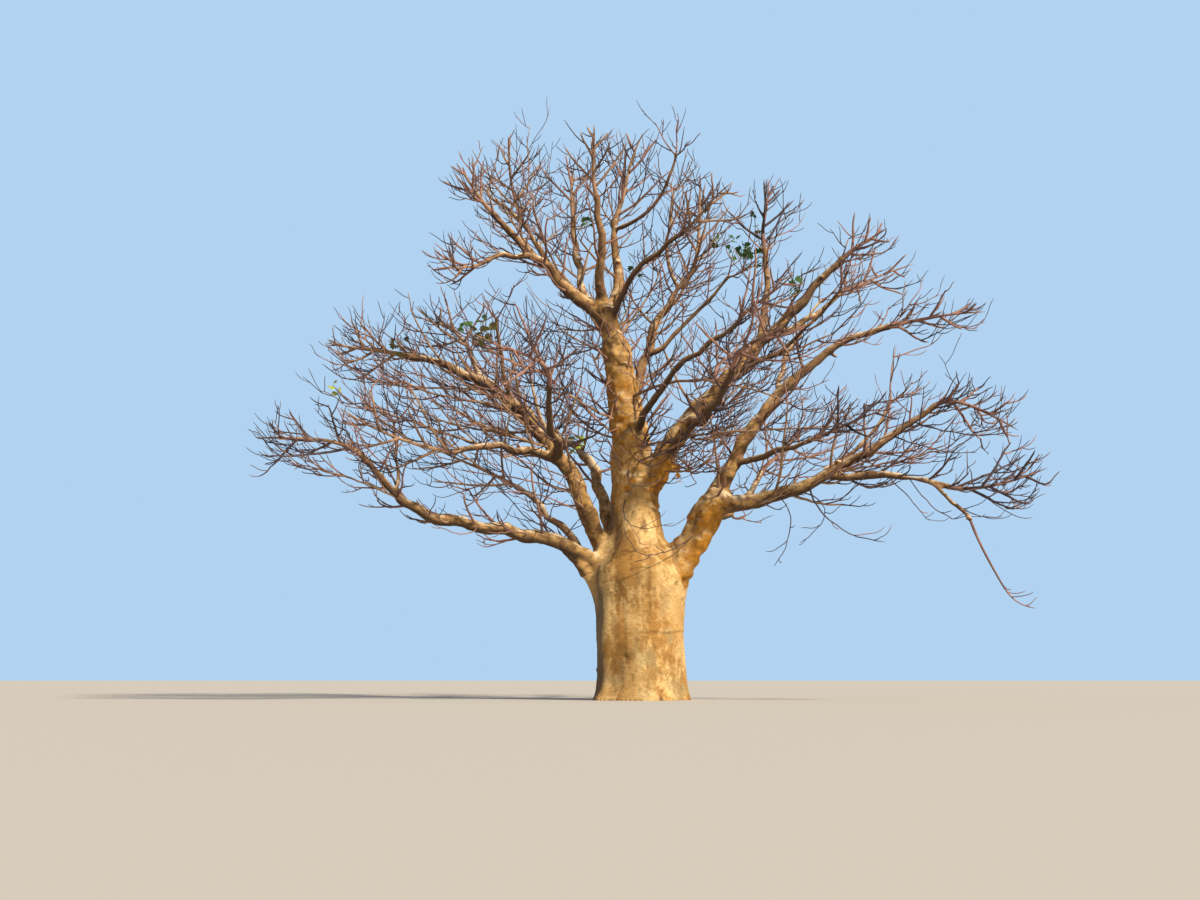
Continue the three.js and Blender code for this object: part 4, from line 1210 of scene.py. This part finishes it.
def whip_generation(rows, first_number):
    """Quadratic curves from limb to tip through a point on the way, with kinks and an upturned end."""
    names, shares, middle, tip, thick = zip(*rows)
    start = np.array([limbs[name]["line"](share) for name, share in zip(names, shares)])
    middle, tip = np.array(middle, float), np.array(tip, float)
    number = first_number + np.arange(len(rows))
    station = np.arange(WHIP_STATIONS)[None, :, None]
    s = np.linspace(0, 1, WHIP_STATIONS)[None, :, None]
    bend = 2 * middle - 0.5 * (start + tip)
    points = quadratic(start[:, None], bend[:, None], tip[:, None], s)
    kink = seeded(number[:, None, None] * 9 + station + 3 * np.arange(3), FOR_WAVE) - 0.5
    points = points + WHIP_KINK * kink * np.minimum(4 * s, 1)
    points = points + UP * TURN_UP * np.maximum(s - TURN_UP_FROM, 0) * 4
    length = np.linalg.norm(np.diff(points, axis=1), axis=2).sum(axis=1)
    space = np.zeros(len(rows), int)
    return {"points": points, "length": length, "number": number, "space": space, "thick": np.array(thick)}


WHIP_SPRIG = {**SPRIG, "count": 3, "from": 0.5, "to": 0.97, "fits": fits_anywhere}
ARM_SHOOT = {
    **TWIG, "count": 8, "thick": 0.02, "from": 0.15, "to": 0.99, "lean": 0.9, "fits": fits_anywhere,
}
whips = whip_generation(WHIPS, WHIP_NUMBER)
whip_sprigs = next_generation(whips, WHIP_SPRIG, free_length(0.25))
arms = whip_generation(ARMS, ARM_NUMBER)
arm_shoots = next_generation(arms, ARM_SHOOT, free_length(0.38, 1.1))
arm_twigs = next_generation(arm_shoots, SHOOT_TWIG, free_length(0.6))
arm_sprigs = next_generation(arm_twigs, SHOOT_SPRIG, free_length(0.55))
tell(whips=whips, their_sprigs=whip_sprigs, arms=arms, their_shoots=arm_shoots, their_twigs=arm_twigs)

# %% [markdown]
# ## From lines to wood
# Every generation becomes tubes of a few sides: eight for stems, three for sprigs. A tube thins evenly
# and ends in a fine closed tip. Each family takes one of three plain twig colours by a seeded number, as
# an image would blur on something this thin.

# %% Tubes and tints of the twigs
TWIG_TIP, THINNEST, TIP_SHARE, STEM_TIP_SHARE = 0.005, 0.0085, 0.5, 0.25
TINT_SPREAD = 1.6


def tubes_of(generation, stations, sides, tip_share):
    """Tubes round a generation's lines, resampled to that many stations. The radius falls evenly to a share
    of the thickness, and the last stretch runs to a fine tip."""
    points = generation["points"]
    share = np.linspace(0, 1, stations)
    place = share * (points.shape[1] - 1)
    low = np.minimum(np.floor(place).astype(int), points.shape[1] - 2)
    part = (place - low)[None, :, None]
    points = points[:, low] * (1 - part) + points[:, low + 1] * part
    thick = generation["thick"][:, None]
    radii = blend(thick, np.maximum(tip_share * thick, THINNEST), share[None])
    radii[:, -1] = TWIG_TIP
    return closed_tubes(rings_along(points, radii, sides))


def tints_of(generation, order):
    """0, 1 or 2 for each line: its family's tint, with the finest twigs shifted to the grey one."""
    chance = seeded(generation["number"] // FAMILY, FOR_TINT)
    return np.clip(np.floor(chance * TINT_SPREAD + order), 0, 2).astype(int)


# %% Make the pieces of twigs
# Piece: how the names of its masses start.
TWIG_GROUPS = {
    "left_twigs": ("left",), "top_twigs": ("top", "inner"), "right_twigs": ("right",),
    "front_and_back_twigs": ("front", "back", "mid"),
}
LEADER_SIDE = -0.45


def twig_piece(name, generations, chosen):
    """One object from the chosen lines of several generations: (generation, stations, sides, tint order)."""
    parts = []
    for generation, stations, sides, order in generations:
        mine = part_of(generation, chosen(generation))
        if len(mine["number"]):
            tip_share = STEM_TIP_SHARE if order == 0 else TIP_SHARE
            *tubes, line = tubes_of(mine, stations, sides, tip_share)
            parts.append((*tubes, tints_of(mine, order)[line]))
    return tree_piece(name, mesh_from(name, *join_parts(parts)))


# Generation, stations along it, sides round it and how far its tint is shifted.
mass_orders = [(stems, 17, 8, 0.0), (branches, 11, 5, 0.5), (twigs, 10, 4, 1.1), (sprigs, 8, 3, 1.5)]
shoot_orders = [
    (shoots, 12, 5, 0.5), (shoot_twigs, 10, 4, 1.1), (shoot_sprigs, 8, 3, 1.5), (whips, 15, 4, 1.4),
    (whip_sprigs, 8, 3, 1.5), (arms, 15, 6, 0.3), (arm_shoots, 11, 4, 0.9), (arm_twigs, 9, 4, 1.2),
    (arm_sprigs, 7, 3, 1.5),
]
twig_objects = []
for name, starts in TWIG_GROUPS.items():
    numbers = [number for number, mass in enumerate(mass_names) if mass.startswith(starts)]
    piece = twig_piece(name, mass_orders, lambda some: np.isin(some["space"], numbers))
    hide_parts(*(mass_names[number] for number in numbers))
    twig_objects.append(piece)
for name, on_left in (("left_shoots", True), ("right_shoots", False)):
    piece = twig_piece(name, shoot_orders, lambda some: (some["points"][:, 0, 0] < LEADER_SIDE) == on_left)
    twig_objects.append(piece)

# %% [markdown]
# ## The last leaves
# A few leaves are left near the ends of the twigs. A baobab leaf is a fan of five pointed leaflets on one
# stalk. Each leaflet is a folded outline of eight triangles. Particles could scatter leaves, but these are
# put by arrays on the twigs that are nearest to the places where the tree still has them.

# %% Where the leaves are
# Place across and up, as seen from the camera, on the plane of the trunk. Then leaves and tint.
LEAF_PLACES = [
    (1.85, 10.82, 5, "leaf_green"),
    (2.38, 10.72, 11, "leaf_green"),
    (2.57, 10.37, 15, "leaf_green"),
    (2.86, 10.57, 9, "leaf_green"),
    (3.73, 9.7, 6, "leaf_green"),
    (2.85, 11.37, 4, "leaf_green"),
    (-3.96, 8.97, 9, "leaf_green"),
    (-1.21, 11.34, 4, "leaf_green"),
    (-0.1, 10.07, 4, "leaf_green"),
    (-3.55, 8.55, 22, "leaf_brown_green"),
    (-5.76, 8.28, 5, "leaf_brown_green"),
    (-7.33, 7.17, 5, "leaf_yellow_green"),
    (-1.53, 5.96, 8, "leaf_yellow_green"),
    (0.78, 5.02, 6, "leaf_orange"),
]
LEAF_TINTS = {
    "leaf_green": ((0.045, 0.10, 0.03, 1), (0.08, 0.16, 0.045, 1)),
    "leaf_brown_green": ((0.10, 0.10, 0.03, 1), (0.17, 0.15, 0.045, 1)),
    "leaf_yellow_green": ((0.34, 0.42, 0.04, 1), (0.46, 0.52, 0.07, 1)),
    "leaf_orange": ((0.62, 0.28, 0.02, 1), (0.75, 0.38, 0.04, 1)),
}


def leaf_starts():
    """Rows of point, outward direction and tint for each leaf: two near the end of each twig that is nearest
    to a place, by where the sight line through the twig meets the plane y = 0."""
    carriers = (twigs, sprigs, shoot_twigs, shoot_sprigs, whips, whip_sprigs, arm_twigs, arm_sprigs)
    tips = np.concatenate([some["points"][:, -3:] for some in carriers])
    eye = np.array(CAMERA_PLACE)
    sight = tips[:, 1] - eye
    seen = (eye + sight * (-eye[1] / sight[:, 1])[:, None])[:, [0, 2]]
    rows = []
    for x, z, count, tint in LEAF_PLACES:
        distance = np.hypot(*(seen - (x, z)).T)
        nearest = np.argsort(distance)[:(count + 1) // 2]
        for leaf in range(count):
            sprig = tips[nearest[leaf // 2]]
            rows.append((*sprig[2 - leaf % 2], *unit(sprig[2] - sprig[0]), list(LEAF_TINTS).index(tint)))
    return np.array(rows)


# %% Shape of a leaf
LEAFLETS, LEAFLET_LENGTH, LEAFLET_DROOP, FAN = 5, 0.135, 0.25, 1.25
STALK, STALK_RADIUS = 0.07, 0.005
AHEAD_CHANCE, FACE_CHANCE, LEAF_SIZES, SIDE_SMALLER = 0.7, 0.6, (0.75, 1.15), 0.12
# One leaflet along, aside and up: a fold along its middle, with the sides a little raised.
LEAFLET_OUTLINE = np.array([
    (0.0, 0.0, 0.0), (0.38, -0.21, 0.05), (0.75, -0.2, 0.03), (1.0, 0.0, -0.12), (0.75, 0.2, 0.03),
    (0.38, 0.21, 0.05), (0.42, 0.0, -0.02), (0.76, 0.0, -0.05),
])
LEAFLET_FACES = np.array([
    (0, 1, 6), (0, 6, 5), (6, 1, 2), (6, 2, 7), (6, 7, 4), (6, 4, 5), (7, 2, 3), (7, 3, 4),
])


def leaf_points(starts, rng):
    """The points of the leaflets, which fan round a stalk for each leaf, as (leaves, leaflets, 8, 3), and
    the stalks' ends."""
    count = len(starts)
    ahead = unit(starts[:, 3:6] + rng.normal(0, AHEAD_CHANCE, (count, 3)))
    face = unit(rng.normal(0, FACE_CHANCE, (count, 3)) + UP)
    aside = unit(np.cross(face, ahead))
    face = np.cross(ahead, aside)
    centre = starts[:, :3] + ahead * STALK
    fan = np.linspace(-FAN, FAN, LEAFLETS)[None, :, None]
    along = ahead[:, None] * np.cos(fan) + aside[:, None] * np.sin(fan) - face[:, None] * LEAFLET_DROOP
    across = aside[:, None] * np.cos(fan) - ahead[:, None] * np.sin(fan)
    size = LEAFLET_LENGTH * rng.uniform(*LEAF_SIZES, (count, 1, 1, 1))
    size = size * (1 - SIDE_SMALLER * np.abs(fan))[..., None]
    frames = (along[:, :, None], across[:, :, None], face[:, None, None])
    points = sum(axis * LEAFLET_OUTLINE[:, number, None] for number, axis in enumerate(frames))
    return centre[:, None, None] + points * size, centre


# %% Make the leaves
def leaves_piece():
    """All leaves and their stalks as one mesh, with a material for each tint."""
    starts = leaf_starts()
    points, centre = leaf_points(starts, np.random.default_rng(77))
    total = len(starts) * LEAFLETS
    corners = (LEAFLET_FACES[None] + len(LEAFLET_OUTLINE) * np.arange(total)[:, None, None]).ravel()
    tint = starts[:, 6].astype(int)
    faces_of_leaf = LEAFLETS * len(LEAFLET_FACES)
    sizes = np.full(len(corners) // 3, 3)
    leaflets = (points.reshape(-1, 3), corners, sizes, np.repeat(tint, faces_of_leaf))
    stalk_lines = np.stack([starts[:, :3], (starts[:, :3] + centre) / 2, centre], axis=1)
    *stalks, line = closed_tubes(rings_along(stalk_lines, np.full((len(starts), 3), STALK_RADIUS), 3))
    print(len(starts), "leaves")
    mesh = mesh_from("last_leaves", *join_parts([leaflets, (*stalks, tint[line])]))
    return tree_piece("last_leaves", mesh)


leaves = leaves_piece()

# %% [markdown]
# ## Materials
# Baobab bark is smooth, matte and tan, with ochre patches, grey-green bloom low down and dark streaks where
# water has run. Principled BSDF does the shading. The patches, streaks and grain come from noise on Object
# coordinates, and the grain that bark and twigs share is a node group that is built once.

# %% Helpers for node trees
def node(tree, kind, inputs=None, **settings):
    """A shader node with its settings, and with inputs that are each a socket to link or a plain value."""
    made = tree.nodes.new("ShaderNode" + kind)
    for what, value in settings.items():
        setattr(made, what, value)
    for key, value in (inputs or {}).items():
        if isinstance(value, bpy.types.NodeSocket):
            tree.links.new(value, made.inputs[key])
        else:
            made.inputs[key].default_value = value
    return made


def noise(tree, vector, scale, detail, roughness, squash=None):
    """A noise texture on a vector, which a Mapping node squashes first where asked."""
    if squash:
        vector = node(tree, "Mapping", {"Vector": vector, "Scale": squash}).outputs["Vector"]
    inputs = {"Vector": vector, "Scale": scale, "Detail": detail, "Roughness": roughness}
    return node(tree, "TexNoise", inputs).outputs["Fac"]


def remap(tree, value, low, high, to_low=0.0, to_high=1.0):
    """A value from low to high, mapped smoothly to another range and clamped."""
    inputs = {"Value": value, "From Min": low, "From Max": high, "To Min": to_low, "To Max": to_high}
    return node(tree, "MapRange", inputs, interpolation_type="SMOOTHSTEP").outputs["Result"]


def mix(tree, factor, first, second, **settings):
    """Two colours mixed by a factor, or blended another way where the settings say so."""
    return node(tree, "Mix", {0: factor, 6: first, 7: second}, data_type="RGBA", **settings).outputs[2]


def maths(tree, operation, *values, clamp=True):
    """One operation on numbers, each a socket or a plain number."""
    return node(tree, "Math", dict(enumerate(values)), operation=operation, use_clamp=clamp).outputs[0]


def times(tree, first, *others):
    """The product of masks, each a socket or a plain number."""
    for other in others:
        first = maths(tree, "MULTIPLY", first, other)
    return first


# %% Grain that bark and twigs share
def grain_group():
    """Fine bark grain: two sizes of noise as one height, and as a tone that lightens or darkens a colour."""
    group = bpy.data.node_groups.new("bark_grain", "ShaderNodeTree")
    for way, name, kind in (
        ("INPUT", "Vector", "Vector"), ("INPUT", "Tone", "Float"),
        ("OUTPUT", "Height", "Float"), ("OUTPUT", "Tone", "Float"),
    ):
        group.interface.new_socket(name, in_out=way, socket_type="NodeSocket" + kind)
    into, out = group.nodes.new("NodeGroupInput"), group.nodes.new("NodeGroupOutput")
    fine = noise(group, into.outputs["Vector"], 26.0, 5.0, 0.65)
    broad = noise(group, into.outputs["Vector"], 9.0, 3.0, 0.55, (1.0, 1.0, 2.6))
    height = maths(group, "ADD", times(group, fine, 0.45), times(group, broad, 0.55))
    centred = maths(group, "SUBTRACT", height, 0.5, clamp=False)
    tone = maths(group, "MULTIPLY_ADD", centred, into.outputs["Tone"], 1.0, clamp=False)
    group.links.new(height, out.inputs["Height"])
    group.links.new(tone, out.inputs["Tone"])
    return group


bark_grain = grain_group()


def new_material(name, roughness):
    """A material with its Principled BSDF and Object coordinates."""
    material = bpy.data.materials.new(name)
    material.use_nodes = True
    tree = material.node_tree
    shader = tree.nodes["Principled BSDF"]
    shader.inputs["Roughness"].default_value = roughness
    shader.inputs["Specular IOR Level"].default_value = 0.25
    return material, tree, shader, node(tree, "TexCoord").outputs["Object"]


def finish_with_grain(tree, shader, coordinates, colour, tone, bump_strength, bump_distance):
    """Links the colour, toned by the grain, and a bump from the grain's height. Returns that height."""
    grain = node(tree, "Group", node_tree=bark_grain)
    tree.links.new(coordinates, grain.inputs["Vector"])
    grain.inputs["Tone"].default_value = tone
    toned = mix(tree, 1.0, colour, grain.outputs["Tone"], blend_type="MULTIPLY")
    tree.links.new(toned, shader.inputs["Base Color"])
    height = grain.outputs["Height"]
    bump = node(tree, "Bump", {"Strength": bump_strength, "Distance": bump_distance, "Height": height})
    tree.links.new(bump.outputs["Normal"], shader.inputs["Normal"])
    return height


# %% Colours of the bark
PALE_TAN = (0.70, 0.48, 0.215, 1)
TAN = (0.44, 0.265, 0.095, 1)
OCHRE = (0.29, 0.14, 0.03, 1)
BLOOM = (0.32, 0.28, 0.14, 1)
# Dark streaks where water has run, and the same colour painted as shade into the bark's hollows.
DARK_STREAK_AND_HOLLOW_SHADE = (0.10, 0.048, 0.018, 1)
LIMB_BARK = (0.46, 0.27, 0.09, 1)
# Pale bark patches, which the layers put only on upward-facing limbs as painted light on their tops.
LIMB_PALE_PAINTED_TOP_LIGHT = (0.70, 0.56, 0.37, 1)
LIMB_SMUDGE = (0.12, 0.06, 0.028, 1)
SLIM_BARK = (0.22, 0.125, 0.068, 1)
# Painted shade: near-black brown for the undersides of slim limbs.
PAINTED_UNDERSIDE_SHADE = (0.05, 0.03, 0.02, 1)
# Painted light: warm orange for the undersides of thick limbs, standing in for light thrown up from the
# ground.
PAINTED_GROUND_BOUNCE = (0.40, 0.17, 0.012, 1)
# Painted shade: dark grey-brown for the side of the bole that faces -X, away from the sun.
PAINTED_SIDE_SHADE = (0.10, 0.075, 0.055, 1)

# %% Layers of the bark
# The rain stain on the bole: its edges across, how soft they are, and how much it adds to the ochre.
STAIN_LEFT, STAIN_RIGHT, STAIN_SOFT, STAIN_GAIN = -0.48, -0.2, 0.16, 0.055


def bark_material():
    """Layers of colour over tan, from patches on the bole to browner bark on slim limbs. A layer's mask is a
    noise, kept to its place by ramps over the limb's girth, the height, or the way that the bark faces."""
    material, tree, shader, coordinates = new_material("baobab_bark", 0.85)
    girth = node(tree, "Attribute", attribute_name="girth").outputs["Fac"]
    hollow = node(tree, "Attribute", attribute_name="hollow").outputs["Fac"]
    facing = node(tree, "SeparateXYZ", {0: node(tree, "NewGeometry").outputs["Normal"]}).outputs
    place = node(tree, "SeparateXYZ", {0: coordinates}).outputs

    def ramp(value, low, high, most=1.0):
        """A mask that is nothing at low and the most at high, where low may be the larger one."""
        return remap(tree, value, low, high, 0.0, most)

    def patches(scale, detail, roughness, low, high, most=1.0, squash=None):
        """A mask from noise of this scale, detail and roughness, ramped from low to high."""
        return ramp(noise(tree, coordinates, scale, detail, roughness, squash), low, high, most)

    broad = noise(tree, coordinates, 1.3, 3.0, 0.6, (1.0, 1.0, 0.5))
    torn = noise(tree, coordinates, 6.0, 6.0, 0.7, (1.0, 1.0, 0.6))
    stain = times(
        tree, ramp(place["X"], STAIN_LEFT - STAIN_SOFT, STAIN_LEFT),
        ramp(place["X"], STAIN_RIGHT + STAIN_SOFT, STAIN_RIGHT), ramp(place["Z"], 4.6, 3.9, STAIN_GAIN),
    )
    ochre = maths(tree, "ADD", maths(tree, "ADD", times(tree, broad, 0.6), times(tree, torn, 0.4)), stain)
    layers = [
        (PALE_TAN, [patches(0.9, 4.0, 0.6, 0.38, 0.62)]),
        (TAN, [patches(7.0, 7.0, 0.78, 0.44, 0.58, 0.6)]),
        (OCHRE, [ramp(ochre, 0.5, 0.58, 0.85)]),
        (LIMB_BARK, [ramp(girth, 0.75, 0.3, 0.85)]),
        (LIMB_SMUDGE, [patches(3.2, 6.0, 0.72, 0.45, 0.57, 0.85), ramp(girth, 0.6, 0.25)]),
        (OCHRE, [patches(13.0, 7.0, 0.8, 0.545, 0.61, 0.8), ramp(girth, 0.1, 0.25)]),
        (BLOOM, [patches(1.6, 4.0, 0.6, 0.48, 0.64, 0.45), ramp(place["Z"], 4.5, 1.0)]),
        (DARK_STREAK_AND_HOLLOW_SHADE, [patches(2.4, 3.0, 0.55, 0.6, 0.72, 0.8, (1.0, 1.0, 0.16)), ramp(girth, 0.15, 0.5)]),
        (SLIM_BARK, [ramp(girth, 0.2, 0.07, 0.85)]),
        # Pale noise patches on slim limbs, kept to the faces that look up: painted light on the limbs' tops.
        (LIMB_PALE_PAINTED_TOP_LIGHT, [
            patches(4.2, 5.0, 0.7, 0.42, 0.56, 0.85), ramp(girth, 0.8, 0.45), ramp(facing["Z"], 0.1, 0.75),
        ]),
        # Painted shade on the undersides of slim limbs, by the normal pointing down.
        (PAINTED_UNDERSIDE_SHADE, [ramp(facing["Z"], 0.1, -0.7, 0.85), ramp(girth, 0.4, 0.22)]),
        # Painted light thrown up from the ground, on the downward faces of thick limbs below the crown's
        # top.
        (PAINTED_GROUND_BOUNCE, [
            ramp(facing["Z"], 0.25, -0.4, 0.9), ramp(girth, 0.2, 0.3), ramp(girth, 0.85, 0.6),
            ramp(place["Z"], 8.5, 7.0),
        ]),
        # Painted shade on the thick bark that faces -X, away from the sun.
        (PAINTED_SIDE_SHADE, [ramp(facing["X"], -0.7, -0.95, 0.75), ramp(girth, 0.45, 0.65)]),
        # Painted shade in the hollows: pits, the crease and the dents of the folds.
        (DARK_STREAK_AND_HOLLOW_SHADE, [times(tree, hollow, 0.4)]),
    ]
    colour = TAN
    for layer, masks in layers:
        colour = mix(tree, times(tree, *masks), colour, layer)
    height = finish_with_grain(tree, shader, coordinates, colour, 1.5, 0.5, 0.02)
    tree.links.new(remap(tree, height, 0.3, 0.7, 0.78, 0.95), shader.inputs["Roughness"])
    return material


bark_finish = bark_material()
print(len(bark_finish.node_tree.nodes), "nodes in the bark")
for bark in bark_objects:
    bark.data.materials.append(bark_finish)

# %% Wood of the twigs
TWIG_TINTS = {
    "twig_wood_tan": ((0.35, 0.215, 0.125, 1), (0.20, 0.118, 0.07, 1)),
    "twig_wood_rosy": ((0.33, 0.18, 0.135, 1), (0.18, 0.10, 0.078, 1)),
    "twig_wood_grey": ((0.105, 0.075, 0.08, 1), (0.055, 0.04, 0.047, 1)),
}


def twig_material(name, light, dark):
    """Two tones of one plain colour in soft blotches, with the shared grain."""
    material, tree, shader, coordinates = new_material(name, 0.8)
    blotches = remap(tree, noise(tree, coordinates, 1.7, 3.0, 0.6), 0.4, 0.6)
    finish_with_grain(tree, shader, coordinates, mix(tree, blotches, light, dark), 0.4, 0.3, 0.004)
    return material


twig_finishes = [twig_material(name, *tones) for name, tones in TWIG_TINTS.items()]
for piece in twig_objects:
    for finish in twig_finishes:
        piece.data.materials.append(finish)
for name, tones in LEAF_TINTS.items():
    leaves.data.materials.append(twig_material(name, *tones))

# %% [markdown]
# ## Floor and light
# The floor is plain and pale. A low warm sun lamp from the right of the camera gives the bole its lit
# front and its shaded left edge, which the bark's colour darkens further with painted shade. An area lamp
# would have to be huge for a tree this size. A pale world fills the shade, and the camera sees a plain
# light blue behind the crown.

# %% Floor
FLOOR_HALF = 260.0
floor_mesh = bpy.data.meshes.new("floor")
floor_corners = [(x * FLOOR_HALF, y * FLOOR_HALF, 0) for x, y in ((-1, -1), (1, -1), (1, 1), (-1, 1))]
floor_mesh.from_pydata(floor_corners, [], [(0, 1, 2, 3)])
floor = new_object("floor", floor_mesh)
floor_finish = bpy.data.materials.new("pale_floor")
floor_finish.use_nodes = True
floor_shader = floor_finish.node_tree.nodes["Principled BSDF"]
floor_shader.inputs["Base Color"].default_value = (0.47, 0.455, 0.42, 1)
floor_shader.inputs["Roughness"].default_value = 0.9
floor_mesh.materials.append(floor_finish)

# %% Background and fill
world = bpy.data.worlds.new("pale_background")
bpy.context.scene.world = world
world.use_nodes = True
sky = world.node_tree
fill = sky.nodes["Background"]
fill.inputs["Color"].default_value = (0.78, 0.80, 0.90, 1)
fill.inputs["Strength"].default_value = 0.42
seen = node(sky, "Background", {"Color": (0.44, 0.65, 0.88, 1), "Strength": 1.0})
by_camera = node(sky, "LightPath").outputs["Is Camera Ray"]
choose = node(sky, "MixShader", {0: by_camera, 1: fill.outputs[0], 2: seen.outputs[0]})
sky.links.new(choose.outputs[0], sky.nodes["World Output"].inputs["Surface"])

# %% Sun
SUN_TURN, SUN_HEIGHT = math.radians(46), math.radians(36)
sun_data = bpy.data.lights.new("key", "SUN")
sun_data.energy = 6.0
sun_data.color = (1.0, 0.88, 0.70)
sun_data.angle = math.radians(4)
sun = new_object("key", sun_data)
sun.rotation_euler = (math.pi / 2 - SUN_HEIGHT, 0, SUN_TURN)
bpy.context.scene.view_settings.view_transform = "Standard"
print("sun", round(math.degrees(SUN_HEIGHT)), "degrees up")
